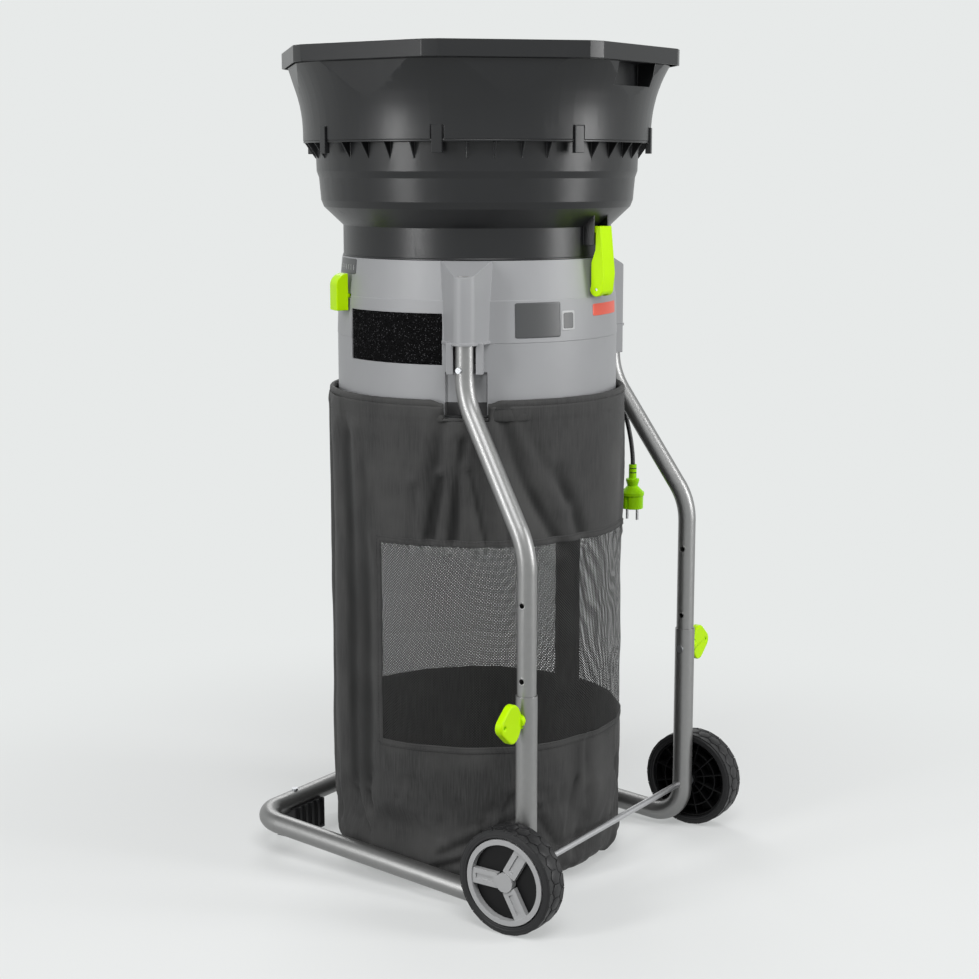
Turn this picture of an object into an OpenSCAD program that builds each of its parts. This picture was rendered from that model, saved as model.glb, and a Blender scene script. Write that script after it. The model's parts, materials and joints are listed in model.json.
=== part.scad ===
// Leaf shredder on a wheeled stand: hopper, shredding head, cloth bag and folding-height legs.
// Millimetres, +Z up, floor at z = 0, wheels towards +Y, wheel axle along X.

/* [Heights] */
// Underside of the lower housing ring
housing_low_z = 735; // [715:1:755]
// Joint between the two housing shells
ledge_z = 844; // [836:1:852]
// Top edge of the housing, where the hopper stands
housing_top_z = 964; // [956:1:972]
// Top of the straight hopper neck
neck_top_z = 1011; // [1005:1:1016]
// Lower edge of the hopper's upper half
skirt_z = 1138; // [1130:1:1150]
// Height of the hopper's flared wall, from its lower edge to the rim
flare_h = 112; // [102:1:122]
// Height of the hopper rim
rim_h = 24; // [18:1:34]

/* [Hopper] */
// Wall of the moulded shells
shell_wall = 3; // [2.5:0.1:3.4]
// How far the hopper neck stands inside the housing's top edge
neck_inset = 2; // [1:0.5:4]
// Outer radius of the skirt round the upper half
skirt_r = 269; // [264:0.5:276]
// How far a flat of the eight-sided rim stands out from the skirt
rim_out = 23; // [20:0.5:28]
// Spread of the flared wall between the skirt and the rim
flare_out = 27; // [24:0.5:30]
// Width of a hand pocket under the rim
pocket_w = 104; // [80:1:130]
// Depth of a hand pocket
pocket_depth = 30; // [20:1:40]
// Width of a clip tongue
tongue_w = 15; // [10:0.5:20]

/* [Housing] */
// Outer radius of the upper shell at the ledge
ledge_r = 220; // [218:0.5:222]
// How far the upper shell draws in from the ledge to the seam line
seam_inset = 3; // [2:0.5:4]
// How far the upper shell draws in from the seam line to its top edge
top_inset = 6; // [4:0.5:8]
// Height of the seam line on the upper shell
seam_z = 906; // [900:1:915]
// Middle of the filter window, in degrees from +X
filter_angle = -2.5; // [-6:0.5:2]
// Angle that the filter window spans
filter_span = 47; // [36:0.5:48]
// Lower edge of the filter window
filter_low_z = 812; // [800:1:822]
// Upper edge of the filter window
filter_high_z = 887.5; // [875:0.5:892]

/* [Legs and frame] */
// Distance of a leg socket from the drum axis along X
socket_x = 209.5; // [205:0.5:214]
// Distance of a leg socket from the drum axis along Y
socket_y = 122.5; // [118:0.5:127]
// Half the distance between the lower legs
leg_x = 240; // [236:0.5:246]
// Distance of the lower legs behind the drum axis
leg_reach = 252; // [246:1:262]
// Distance of the crossbar in front of the drum axis
crossbar_reach = 273; // [266:1:284]
// Height of the crossbar's centre line
crossbar_z = 57; // [52:1:64]
// Height of the rail's centre line at the leg corner
rail_low_z = 18; // [17.5:0.5:22]
// Outer diameter of the frame tubes
frame_tube_d = 32; // [30:0.5:33]
// Wall of the frame tubes
frame_tube_wall = 1.5; // [1.2:0.1:1.8]
// Wall of the upper leg tubes
leg_tube_wall = 1.5; // [1.2:0.1:2.5]
// Centre line radius of the frame bends
frame_bend_r = 50; // [44:1:52]
// Centre line radius of the leg bends
leg_bend_r = 110; // [80:1:130]
// Top of the lower leg tube
sleeve_top_z = 347; // [340:1:360]
// Height of the lock knobs
knob_z = 314; // [306:1:322]
// Half the length of the crossbar between its joints
crossbar_half = 165; // [155:1:175]

/* [Wheels] */
// Diameter of a wheel
wheel_d = 160; // [150:1:170]
// Width of a wheel
wheel_w = 42; // [36:1:48]
// Diameter of the axle
axle_d = 10; // [8:0.5:12]
// Outer radius of the light trim ring
trim_r = 64.5; // [60:0.5:65]

/* [Latches and selector] */
// Width of a latch
latch_w = 34; // [30:1:38]
// Diameter of a latch pin
latch_pin_d = 4; // [3:0.5:5]
// Angle of the selector lever, in degrees from +X
lever_angle = -31.5; // [-34:0.5:-30]
// Travel of the selector lever in degrees
lever_travel = 20; // [10:1:30]

/* [Motor and cutter] */
// Outer radius of the motor pod
pod_r = 88; // [84:1:96]
// Diameter of the motor shaft
shaft_d = 12; // [10:0.5:14]
// Radius of the line head
head_r = 58; // [45:1:70]
// Radius swept by the cutting lines
line_reach = 186; // [160:1:192]
// Diameter of a cutting line
line_d = 2.4; // [1.6:0.1:3]

/* [Bag] */
// Outer radius of the bag
bag_r = 233; // [232:0.5:238]
// Lowest point of the bag
bag_low_z = 5; // [4:1:12]
// Lower edge of the mesh windows
window_low_z = 230; // [210:1:250]
// Upper edge of the mesh windows
window_high_z = 544; // [520:1:570]

/* [Lead and plug] */
// Diameter of the mains lead
cord_d = 7.4; // [6:0.1:8]

/* [Hidden] */
$fn = 96;

// Overrun of every cut past the face it opens
cut = 1;
// Gap between pieces that lie against each other
fit_gap = 0.3;
// Radial running clearance of shafts and pins
run_gap = 0.04;
// Bends are this much thicker than the straight tube, and overlap it by this length
bend_swell = 0.12;
bend_lap = 0.5;

// Radii of the housing, the neck and the rim, and the rim's heights
housing_seam_r = ledge_r - seam_inset;
housing_top_r = housing_seam_r - top_inset;
neck_r = housing_top_r - neck_inset;
rim_apothem = skirt_r + rim_out;
rim_low_z = skirt_z + flare_h;
rim_top_z = rim_low_z + rim_h;

// Frame and drum places, with the whole depth centred on the origin
frame_r = frame_tube_d/2;
wheel_r = wheel_d/2;
drum_y = (max(rim_apothem, crossbar_reach + frame_r) - (leg_reach + wheel_r))/2;
leg_y = drum_y + leg_reach;
bar_y = drum_y - crossbar_reach;

// Upper leg tubes slide in the lower ones
leg_r = frame_r - frame_tube_wall - fit_gap;
leg_bore_r = leg_r - leg_tube_wall;
leg_top_z = 945;
leg_low_z = 258;
leg_upper_bend_z = 768;
leg_lower_bend_z = 560;
adjust_holes_z = [370, 482];
adjust_hole_d = 8;
frame_bore_r = frame_r - frame_tube_wall;
socket_reach = norm([socket_x, socket_y]);
socket_angle = atan2(socket_y, socket_x);

// Leg sockets and the tabs beside each tube
socket_wall = 4;
socket_tip_r = leg_r + socket_wall;
socket_base_half = 38;
socket_slope_drop = 14;
socket_lip = 2;
socket_lip_h = 4;
tab_low_z = 802;
tab_gap = 2.5;
tab_inner = leg_r + tab_gap;
tab_w = 10;
tab_reach = 6;
recess_half = 31;
recess_depth = 4;
leg_screw_z = 808.5;
leg_screw_d = 5;
leg_screw_head_d = 9;
leg_screw_head_h = 3;
screw_boss_d = 15;
screw_boss_len = 26;

// Housing ring, shelf and bag bead
ring_step = 0.5;
ring_r = ledge_r - ring_step;
ring_bore_r = ring_r - shell_wall;
shelf_h = 4;
shelf_w = 16;
shelf_bore_r = ring_r - shelf_w;
bead_h = 4;
bead_w = 5;
bead_r = ring_r + bead_w;
seam_step = 0.8;
filter_thick = 6;

// Hopper profile below the flange: radii and heights of the two dark steps
flange_in = 0.5;
flange_r = skirt_r - flange_in;
flange_w = 18;
body_top_r = flange_r - flange_w;
body_draft = 1.5;
step_h = 10;
upper_step_z = 1083;
lower_step_z = 1039;
upper_step_r = body_top_r - body_draft;
upper_step_in = 3.5;
between_draft = 3;
between_r = upper_step_r - upper_step_in - between_draft;
lower_step_in = 4;
neck_foot_h = 3;
neck_foot_w = 1;
neck_foot_r = neck_r + neck_foot_w;
spigot_len = 14;
spigot_r = housing_top_r - shell_wall - fit_gap;
gusset_count = 40;
gusset_t = 2;
gusset_h = 23;
gusset_out = flange_r - gusset_t;

// Bell of the upper half: flare, flat facets, rim and tongues
skirt_h = 12;
flare_z = skirt_z + skirt_h;
flare_rise = rim_low_z - flare_z;
flare_r = (pow(flare_rise, 2) + pow(flare_out, 2))/(2*flare_out);
facet_share = 4/7;
facet_z = skirt_z + flare_h*facet_share;
facet_tilt = 10.7;
sides = 8;
side_angle = 360/sides;
corner_share = 0.985;
tongue_count = 8;
tongue_out = 3;
tongue_top = 20;
tongue_drop = 19;
tongue_barb = 5;
slit_w = 2.5;
pocket_h = 34;

// Latch and its pin, lug and catch
pin_r = 228;
pin_z = 918;
latch_foot_r = 10.5;
latch_back_r = 219;
latch_front_r = 241;
latch_belly_z = 942;
latch_top_z = 1012;
latch_tip_r = 234;
latch_neck_r = 226;
hook_r = 217;
hook_h = 9;
hook_neck_h = 26;
latch_back_top_z = 958;
lug_w = 12;
lug_r = 5;
slot_w = lug_w + 2*cut;
slot_rise = 14;
slot_skin = 3;
catch_h = 12;
catch_out_r = 223;
cheek_t = 3;
cheek_out_r = 226;
cheek_low_z = 984;
cheek_rise = 46;

// Selector lever and its ring
lever_in_r = 221;
lever_out = 19;
lever_low_z = 884;
lever_round_z = 921;
lever_span = 7.5;
shank_span = 4;
shank_h = 6;
selector_ring_r = 212.3;
selector_ring_t = 3;
selector_ring_h = 20;
selector_ring_span = 44;

// Motor pod, arms and duct
pod_wall = 3;
pod_low_z = 800;
pod_shoulder_z = 885;
pod_top_z = 904;
pod_crown_r = 60;
pod_top_t = 6;
arm_w = 26;
arm_h = 22;
arm_end_r = ring_bore_r - shell_wall;
duct_w = 100;
duct_inset = 4;
duct_low_z = filter_low_z + duct_inset;
duct_high_z = filter_high_z - duct_inset;
duct_end_r = ledge_r - shell_wall - filter_thick - fit_gap;
boss_r = 24;
cover_t = 4;
bearing_d = 32;
bearing_h = 10;
pod_screw_ring = 74;
pod_screw_count = 3;
pod_screw_d = 5;
pod_screw_head_d = 9;
pod_screw_head_h = 3;
pod_boss_d = 14;
arm_screw_len = 16;
arm_screw_inset = 5;
can_r = 56;
can_low_z = 816;
can_high_z = 882;
seat_w = 14;
head_low_z = 913;
head_h = 32;
head_waist_in = 8;
shaft_low_z = pod_low_z - cover_t;
line_count = 4;
line_root = 16;
line_root_r = head_r - line_root;
nut_w = 20;
nut_h = 9;

// Bag: hem, ring, windows and the room left for the rails
bag_wall = 3;
hem_h = 27;
hem_top_z = housing_low_z + hem_h;
hem_out_r = bag_r;
bag_wire_r = 2;
hem_in_r = ring_r + 2*bag_wire_r + 3*fit_gap;
hem_notch_half = 33;
bag_foot_round = 34;
rail_room = 2;
bag_side_x = leg_x - frame_r - rail_room;
bag_taper_h = 60;
bag_taper_low_z = crossbar_z + 2*frame_r;
bag_taper_high_z = bag_taper_low_z + bag_taper_h;
window_starts = [-4, 178];
window_spans = [171, 122];

// Frame details
sleeve_in = 50;
sleeve_out = 22;
foot_len = 77;
foot_in_x = 95;
foot_back = 24;
foot_cradle = 6;
foot_h = crossbar_z - foot_cradle;
foot_rib_count = 5;
foot_rib_w = 5;
foot_rib_depth = 4;
foot_screw_x = 143;
foot_screw_d = 5;
foot_screw_head_d = 10;
foot_screw_head_h = 3;
foot_screw_low_z = 22;

// Wheel details
wheel_gap = 2;
wheel_in_x = leg_x + frame_r + wheel_gap;
wheel_out_x = wheel_in_x + wheel_w;
tyre_depth = 14;
tyre_bore_r = wheel_r - tyre_depth;
tyre_round = 7;
hub_r = 15;
web_inset = 14;
hub_len = wheel_w - web_inset;
web_t = 3;
web_x = wheel_out_x - web_inset;
core_rim_t = 3;
core_rib_inset = 6;
core_rib_h = hub_len - core_rib_inset;
core_rib_t = 2.2;
core_rib_drop = 1;
core_rib_count = 12;
core_ring_shares = [0.4, 0.7];
trim_t = 5;
trim_ring_w = 8;
spoke_w = 23;
spoke_count = 3;
spoke_turn = 180;
hub_cap_r = 14.5;
hub_cap_wall = 2.5;
cap_len = 6;
cap_wall = 3;
axle_end_x = web_x + web_t + 2*fit_gap + cap_len - cap_wall;
washer_d = 24;

// Knobs and their bolts
knob_t = 12;
knob_hub_d = 20;
knob_hub_len = 9;
knob_root = 5;
knob_len = 58;
knob_wide_half = 29;
knob_belly_share = 0.72;
knob_round = 14;
knob_hole_d = 5;
knob_hole_inset = 10;
stud_d = 6;
stud_stop = 0.3;
bolt_head_d = 12;
bolt_head_h = 3;

// Lead: the tilted outlet box, its boot, the lead's own route and the plug
gland_tilt = 28;
gland_len = 34;
gland_tip_r = 5.5;
gland_base_r = 8.5;
outlet_half = 13;
outlet_len = 18;
outlet_reach = 48;
cord_sides = 10;
cord_route = [[-229, 86.5, 811.5], [-229, 98, 790], [-229, 104.5, 778], [-229.5, 110.5, 765],
    [-230, 116.5, 752], [-231, 122, 739], [-232, 127, 726], [-233, 131, 713], [-234, 135, 700],
    [-235, 138.5, 687], [-236, 141.5, 674], [-237, 144, 661], [-238, 146, 648], [-238.5, 147.5, 636],
    [-239, 148.5, 624], [-239, 149, 612], [-239, 149, 604]];
cord_points = [for (p = cord_route) p + [0, drum_y, 0]];
cord_last = len(cord_points) - 1;
plug_top = cord_points[cord_last - 1];
plug_bore_h = 10;
plug_relief_r = 6.5;
plug_relief_h = 24;
plug_collar_r = 11;
plug_collar_h = 4;
plug_waist_r = 8.5;
plug_waist_h = 8;
plug_flare_h = 11;
plug_flange_r = 19.5;
plug_flange_h = 5;
plug_body_r = 18;
plug_body_h = 22;
plug_len = plug_relief_h + plug_collar_h + plug_waist_h + plug_flare_h + plug_flange_h + plug_body_h;
plug_groove_w = 5;
plug_groove_depth = 3;
pin_pitch = 19;
pin_d = 4.8;
pin_len = 19;
pin_root = 8;

function unit(v) = v/norm(v);
function seam_blend(z) = (z - seam_z)/(housing_top_z - seam_z);
function upper_wall_r(z) = housing_seam_r + (housing_top_r - housing_seam_r)*seam_blend(z);

// A straight rod from a to b
module rod(a, b, r) {
    d = b - a;
    translate(a) rotate([0, acos(d[2]/norm(d)), atan2(d[1], d[0])]) cylinder(h = norm(d), r = r);
}

// Length that a bend takes from each side of a corner
function setback(path, i, bend) =
    let (u = unit(path[i] - path[i - 1]), v = unit(path[i + 1] - path[i]))
    bend*tan(acos(u*v)/2);

// The bend at corner p between directions u and v
module elbow(p, u, v, bend, r) {
    turn = acos(u*v);
    n = unit(v - u*(u*v));
    w = cross(u, n);
    c = p - u*bend*tan(turn/2) + n*bend;
    multmatrix([[-n[0], u[0], w[0], c[0]], [-n[1], u[1], w[1], c[1]],
        [-n[2], u[2], w[2], c[2]], [0, 0, 0, 1]])
        rotate_extrude(angle = turn) translate([bend, 0]) circle(r = r);
}

// A round bar bent along a path, lengthened at both ends by over
module bent_bar(path, bend, r, over = 0) {
    last = len(path) - 1;
    for (i = [0 : last - 1]) {
        u = unit(path[i + 1] - path[i]);
        a = i == 0 ? path[0] - u*over : path[i] + u*(setback(path, i, bend) - bend_lap);
        b = i == last - 1 ? path[last] + u*over : path[i + 1] - u*(setback(path, i + 1, bend) - bend_lap);
        rod(a, b, r);
        if (i > 0) elbow(path[i], unit(path[i] - path[i - 1]), u, bend, r + bend_swell);
    }
}

// Places a child on the drum axis
module on_drum() {
    translate([0, drum_y, 0]) children();
}

// Draws a child on the right and, mirrored, on the left
module both_sides() {
    children();
    mirror([1, 0, 0]) children();
}

// A cylinder along X through the point at
module x_bar(at, r, h) {
    translate(at) rotate([0, 90, 0]) cylinder(h = h, r = r, center = true);
}

// A turned sector: the outline is drawn in radius and height
module sector(start, span) {
    rotate([0, 0, start]) rotate_extrude(angle = span) children();
}

// A box in radius and height
module ring_box(r1, r2, z1, z2) {
    translate([r1, z1]) square([r2 - r1, z2 - z1]);
}

// HOPPER

// Solid outline of the upper half, drawn in by inset
module bell_solid(inset, over = 0) {
    difference() {
        rotate_extrude() difference() {
            ring_box(0, skirt_r + flare_r, skirt_z - over, rim_low_z + over);
            ring_box(skirt_r - inset, skirt_r + 2*flare_r, skirt_z - over - cut, flare_z);
            translate([skirt_r + flare_r, flare_z]) circle(r = flare_r + inset);
        }
        for (k = [0 : sides - 1])
            rotate([0, 0, side_angle*k])
                translate([facet_apothem(facet_z) - inset/cos(facet_tilt), 0, facet_z])
                rotate([0, facet_tilt, 0]) translate([0, -rim_apothem, 0])
                    cube([rim_apothem, 2*rim_apothem, rim_apothem]);
    }
}

// Radius of the flare, and the distance of a facet from the axis, at height z
function flare_radius(z) = skirt_r + flare_r - sqrt(pow(flare_r, 2) - pow(z - flare_z, 2));
function facet_apothem(z) = flare_radius(facet_z) + (z - facet_z)*tan(facet_tilt);

// Eight-sided slab with rounded corners
module octagon(apothem, low, high) {
    corner = apothem/cos(side_angle/2);
    translate([0, 0, low]) intersection() {
        rotate([0, 0, side_angle/2]) cylinder(h = high - low, r = corner, $fn = sides);
        cylinder(h = high - low, r = corner*corner_share);
    }
}

// Inner outline of the rim, drawn in by inset
module rim_throat(inset, low, high) {
    intersection() {
        octagon(facet_apothem(rim_low_z) - inset, low, high);
        translate([0, 0, low]) cylinder(h = high - low, r = flare_radius(rim_low_z) - inset);
    }
}

// Hollow of a hand pocket, or with grow its outside
module pocket(grow) {
    back = facet_apothem(rim_low_z) - pocket_depth - grow;
    translate([-pocket_w/2 - grow, back, rim_low_z - pocket_h - grow])
        cube([pocket_w + 2*grow, rim_apothem - back - shell_wall, pocket_h + 2*grow]);
}

module tongues() {
    for (k = [0 : tongue_count - 1])
        rotate([0, 0, side_angle*(k + 1/2)]) intersection() {
            sector(-side_angle/4, side_angle/2) union() {
                ring_box(skirt_r - shell_wall, skirt_r + tongue_out, skirt_z + fit_gap, skirt_z + tongue_top);
                ring_box(flange_r + fit_gap, skirt_r + tongue_out,
                    skirt_z - tongue_drop, skirt_z + tongue_top);
                ring_box(flange_r - tongue_barb, skirt_r + tongue_out,
                    skirt_z - tongue_drop, skirt_z - shell_wall - fit_gap);
            }
            translate([0, -tongue_w/2, 0]) cube([2*skirt_r, tongue_w, rim_top_z]);
        }
}

module tongue_slits() {
    for (k = [0 : tongue_count - 1])
        rotate([0, 0, side_angle*(k + 1/2)]) for (side = [-1, 1])
            translate([skirt_r - 2*shell_wall, side*(tongue_w + slit_w)/2 - slit_w/2, skirt_z - cut])
                cube([4*shell_wall, slit_w, tongue_top + cut]);
}

module hopper_upper() {
    color("#464749") on_drum() {
        difference() {
            union() {
                difference() {
                    bell_solid(0);
                    bell_solid(shell_wall, cut);
                    tongue_slits();
                }
                for (turn = [0, 180]) intersection() {
                    rotate([0, 0, turn]) pocket(shell_wall);
                    union() {
                        bell_solid(0);
                        rim_throat(0, rim_low_z - cut, rim_top_z);
                    }
                }
                difference() {
                    rim_throat(0, rim_low_z - cut, rim_top_z);
                    rim_throat(shell_wall, rim_low_z - 2*cut, rim_top_z + cut);
                }
                difference() {
                    octagon(rim_apothem, rim_low_z, rim_top_z);
                    octagon(rim_apothem - shell_wall, rim_low_z - cut, rim_top_z - shell_wall);
                    rim_throat(shell_wall, rim_low_z - cut, rim_top_z + cut);
                }
                tongues();
            }
            for (turn = [0, 180]) rotate([0, 0, turn]) pocket(0);
        }
    }
}

// Outline of the lower half, from the neck to the flange
function funnel_outline(inset) = [
    [neck_r - inset, housing_top_z],
    [neck_r - inset, neck_top_z],
    [between_r - lower_step_in - inset, lower_step_z],
    [between_r - inset, lower_step_z + step_h],
    [upper_step_r - upper_step_in - inset, upper_step_z],
    [upper_step_r - inset, upper_step_z + step_h],
    [body_top_r - inset, skirt_z - shell_wall]];

// A ring of gussets with room left for each clip tongue
module gussets() {
    step = gusset_count/tongue_count;
    for (k = [0 : gusset_count - 1]) if (k % step != floor(step/2))
        rotate([0, 0, (k + 1/2)*360/gusset_count]) rotate([90, 0, 0])
            linear_extrude(gusset_t, center = true)
                polygon([[body_top_r - shell_wall, skirt_z - shell_wall], [gusset_out, skirt_z - shell_wall],
                    [body_top_r, skirt_z - gusset_h - shell_wall],
                    [body_top_r - shell_wall, skirt_z - gusset_h - shell_wall]]);
}

// Catch for one latch: two cheeks and the ledge that the hook holds
module latch_catch() {
    cheek_y = latch_w/2 + cheek_t;
    for (side = [-1, 1])
        translate([neck_r - shell_wall, side*cheek_y - cheek_t/2, cheek_low_z])
            cube([cheek_out_r - neck_r + shell_wall, cheek_t, cheek_rise]);
    translate([neck_r - shell_wall, -cheek_y, latch_top_z - hook_h - fit_gap - catch_h])
        cube([catch_out_r - neck_r + shell_wall, 2*cheek_y, catch_h]);
}

module hopper_lower() {
    color("#424345") on_drum() {
        difference() {
            union() {
                rotate_extrude() {
                    polygon(concat([[0, housing_top_z]], funnel_outline(0), [[0, skirt_z - shell_wall]]));
                    ring_box(0, flange_r, skirt_z - shell_wall, skirt_z);
                    ring_box(0, neck_foot_r, housing_top_z, housing_top_z + neck_foot_h);
                    ring_box(0, spigot_r, housing_top_z - spigot_len, housing_top_z);
                }
                gussets();
                for (turn = [90, 270]) rotate([0, 0, turn]) latch_catch();
            }
            rotate_extrude() {
                polygon(concat([[0, housing_top_z]], funnel_outline(shell_wall),
                    [[0, skirt_z - shell_wall]]));
                ring_box(0, body_top_r - shell_wall, skirt_z - 2*shell_wall, skirt_z + cut);
                ring_box(0, spigot_r - shell_wall,
                    housing_top_z - spigot_len - cut, housing_top_z + shell_wall);
            }
        }
    }
}

// HOUSING

// Draws a child in the right leg socket's own frame: x points outwards, origin on the tube
module at_socket() {
    translate([socket_x, socket_y, 0]) rotate([0, 0, socket_angle]) children();
}

// Plan of a socket: a round tip whose flat flanks run into the wall
module socket_plan(grow) {
    base = -(socket_reach - housing_top_r + shell_wall);
    tip = socket_tip_r + grow;
    half = socket_base_half + grow;
    slope = atan2(half - tip, -base);
    touch = [tip*sin(slope), tip*cos(slope)];
    circle(r = tip);
    polygon([[base, half], touch, [touch[0], -touch[1]], [base, -half]]);
}

module socket_body() {
    at_socket() {
        difference() {
            union() {
                translate([0, 0, ledge_z]) linear_extrude(housing_top_z - ledge_z) socket_plan(0);
                translate([0, 0, ledge_z]) linear_extrude(socket_lip_h) socket_plan(socket_lip);
            }
            translate([housing_top_r - socket_reach, 0, housing_top_z])
                rotate([0, atan2(socket_slope_drop, socket_reach - housing_top_r), 0])
                    translate([0, -socket_reach, 0]) cube([socket_reach, 2*socket_reach, socket_reach]);
        }
        for (side = [-1, 1])
            translate([ring_bore_r - socket_reach, side*(tab_inner + tab_w/2) - tab_w/2, tab_low_z])
                cube([socket_reach + tab_reach - ring_bore_r, tab_w, ledge_z - tab_low_z + socket_lip_h]);
    }
}

// Room for the tube and the tabs of a socket, in the socket's own frame
module tab_room() {
    half = tab_inner + tab_w + fit_gap;
    translate([ring_bore_r - socket_reach, -half, tab_low_z - fit_gap])
        cube([socket_reach, 2*half, ledge_z - tab_low_z + fit_gap]);
}

// Lug of one latch, drawn on the +X side
module latch_lug() {
    translate([0, lug_w/2, 0]) rotate([90, 0, 0]) linear_extrude(lug_w) {
        translate([pin_r, pin_z]) circle(r = lug_r);
        translate([housing_top_r - shell_wall, pin_z - lug_r])
            square([pin_r - housing_top_r + shell_wall, 2*lug_r]);
    }
}

module filter_window() {
    sector(filter_angle - filter_span/2, filter_span)
        ring_box(shelf_bore_r - cut, 2*ledge_r, filter_low_z, filter_high_z);
}

// Inside of the upper shell
module upper_hollow() {
    rotate_extrude() polygon([[0, ledge_z - cut], [ledge_r - shell_wall, ledge_z - cut],
        [ledge_r - shell_wall, ledge_z], [housing_seam_r - shell_wall, seam_z],
        [housing_top_r - shell_wall, housing_top_z], [housing_top_r - shell_wall, housing_top_z + cut],
        [0, housing_top_z + cut]]);
}

module housing_upper() {
    slot_turn = lever_angle - lever_travel - shank_span;
    color("#9b9da0") on_drum() {
        difference() {
            union() {
                rotate_extrude() polygon([[0, ledge_z], [ledge_r, ledge_z],
                    [housing_seam_r + seam_step, seam_z], [housing_seam_r, seam_z + seam_step],
                    [housing_top_r, housing_top_z], [0, housing_top_z]]);
                both_sides() socket_body();
                for (turn = [90, 270]) rotate([0, 0, turn]) latch_lug();
            }
            upper_hollow();
            translate([0, 0, tab_low_z - cut]) cylinder(h = ledge_z - tab_low_z + cut, r = ring_r + fit_gap);
            both_sides() at_socket() translate([0, 0, tab_low_z - cut])
                cylinder(h = leg_top_z + cut - tab_low_z, r = leg_r + fit_gap);
            both_sides() leg_screw_boss(fit_gap);
            for (turn = [90, 270])
                rotate([0, 0, turn]) translate([pin_r, 0, pin_z]) rotate([90, 0, 0])
                    cylinder(h = 2*lug_w, d = latch_pin_d + 2*run_gap, center = true);
            sector(slot_turn, lever_travel + 2*shank_span)
                ring_box(selector_ring_r, lever_in_r,
                    seam_z - shank_h/2 - fit_gap, seam_z + shank_h/2 + fit_gap);
            filter_window();
        }
    }
}

// The tilted outlet box of the lead, in the gland's own frame: the lead leaves along -Z
module at_gland() {
    translate(cord_points[1]) rotate([gland_tilt, 0, 0]) children();
}

module outlet_box() {
    at_gland() translate([-outlet_half, -outlet_half, gland_len])
        cube([outlet_reach, 2*outlet_half, outlet_len]);
}

// Boss that takes a leg screw, drawn on the right, or with grow the room round it
module leg_screw_boss(grow) {
    x_bar([socket_x - leg_r - fit_gap - screw_boss_len/2, socket_y, leg_screw_z],
        screw_boss_d/2 + grow, screw_boss_len + 2*grow);
}

module housing_lower() {
    color("#9b9da0") difference() {
        union() {
            on_drum() difference() {
                union() {
                    rotate_extrude() {
                        ring_box(ring_bore_r, ring_r, housing_low_z, ledge_z);
                        ring_box(shelf_bore_r, ring_r, ledge_z - shelf_h, ledge_z);
                        ring_box(ring_bore_r, bead_r, housing_low_z - bead_h, housing_low_z);
                    }
                    both_sides() intersection() {
                        at_socket() translate([-socket_reach, -recess_half - shell_wall, housing_low_z])
                            cube([socket_reach, 2*(recess_half + shell_wall),
                                ledge_z - shelf_h - housing_low_z]);
                        rotate_extrude()
                            ring_box(ring_bore_r - recess_depth, ring_r, housing_low_z, ledge_z - shelf_h);
                    }
                }
                both_sides() intersection() {
                    at_socket() translate([-socket_reach, -recess_half, housing_low_z])
                        cube([socket_reach, 2*recess_half, tab_low_z - housing_low_z]);
                    rotate_extrude() ring_box(ring_r - recess_depth, 2*ring_r, housing_low_z, tab_low_z);
                }
                filter_window();
            }
            on_drum() both_sides() leg_screw_boss(0);
            difference() {
                outlet_box();
                on_drum() cylinder(h = 2*ledge_z, r = ring_bore_r);
                on_drum() both_sides() at_socket() tab_room();
            }
        }
        on_drum() both_sides() x_bar([socket_x, socket_y, leg_screw_z], leg_screw_d/2 + run_gap, 2*socket_x);
        on_drum() for (turn = arm_turns()) rotate([0, 0, turn]) translate([arm_screw_r(), 0, 0])
            cylinder(h = 2*ledge_z, d = pod_screw_d + 2*run_gap);
        at_gland() cylinder(h = gland_len + outlet_len - shell_wall, d = cord_d + 2*run_gap);
    }
}

module air_filter() {
    edge = atan2(fit_gap, ledge_r);
    color("#141414") on_drum() sector(filter_angle - filter_span/2 + edge, filter_span - 2*edge)
        ring_box(ledge_r - shell_wall - filter_thick, ledge_r - shell_wall/2,
            filter_low_z + fit_gap, filter_high_z - fit_gap);
}

// SELECTOR AND LATCHES

module selector_lever() {
    color("#96cd00") on_drum() {
        sector(lever_angle - lever_span/2, lever_span) {
            ring_box(lever_in_r, lever_in_r + lever_out, lever_low_z, lever_round_z);
            intersection() {
                translate([lever_in_r, lever_round_z]) circle(r = lever_out);
                ring_box(lever_in_r, lever_in_r + lever_out, lever_round_z, lever_round_z + lever_out);
            }
        }
        sector(lever_angle - shank_span/2, shank_span)
            ring_box(selector_ring_r, lever_in_r + lever_out/2, seam_z - shank_h/2, seam_z + shank_h/2);
    }
}

module selector_ring() {
    color("#2a2b2c") on_drum() sector(lever_angle - selector_ring_span/2, selector_ring_span)
        ring_box(selector_ring_r - selector_ring_t, selector_ring_r,
            seam_z - selector_ring_h/2, seam_z + selector_ring_h/2);
}

// One latch, drawn on the +X side
module latch() {
    difference() {
        translate([0, latch_w/2, 0]) rotate([90, 0, 0]) linear_extrude(latch_w) {
            translate([pin_r, pin_z]) circle(r = latch_foot_r);
            polygon([[latch_back_r, pin_z], [pin_r + latch_foot_r, pin_z], [latch_front_r, latch_belly_z],
                [latch_tip_r, latch_top_z], [hook_r, latch_top_z], [hook_r, latch_top_z - hook_h],
                [latch_neck_r, latch_top_z - hook_h], [latch_neck_r, latch_top_z - hook_h - hook_neck_h],
                [latch_back_r, latch_back_top_z]]);
        }
        translate([0, -slot_w/2, pin_z - 2*latch_foot_r])
            cube([pin_r + latch_foot_r - slot_skin, slot_w, 2*latch_foot_r + slot_rise]);
        translate([pin_r, 0, pin_z]) rotate([90, 0, 0])
            cylinder(h = 2*latch_w, d = latch_pin_d + 2*run_gap, center = true);
    }
}

module latch_rear() {
    color("#a5dc00") on_drum() rotate([0, 0, 90]) latch();
}

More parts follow.
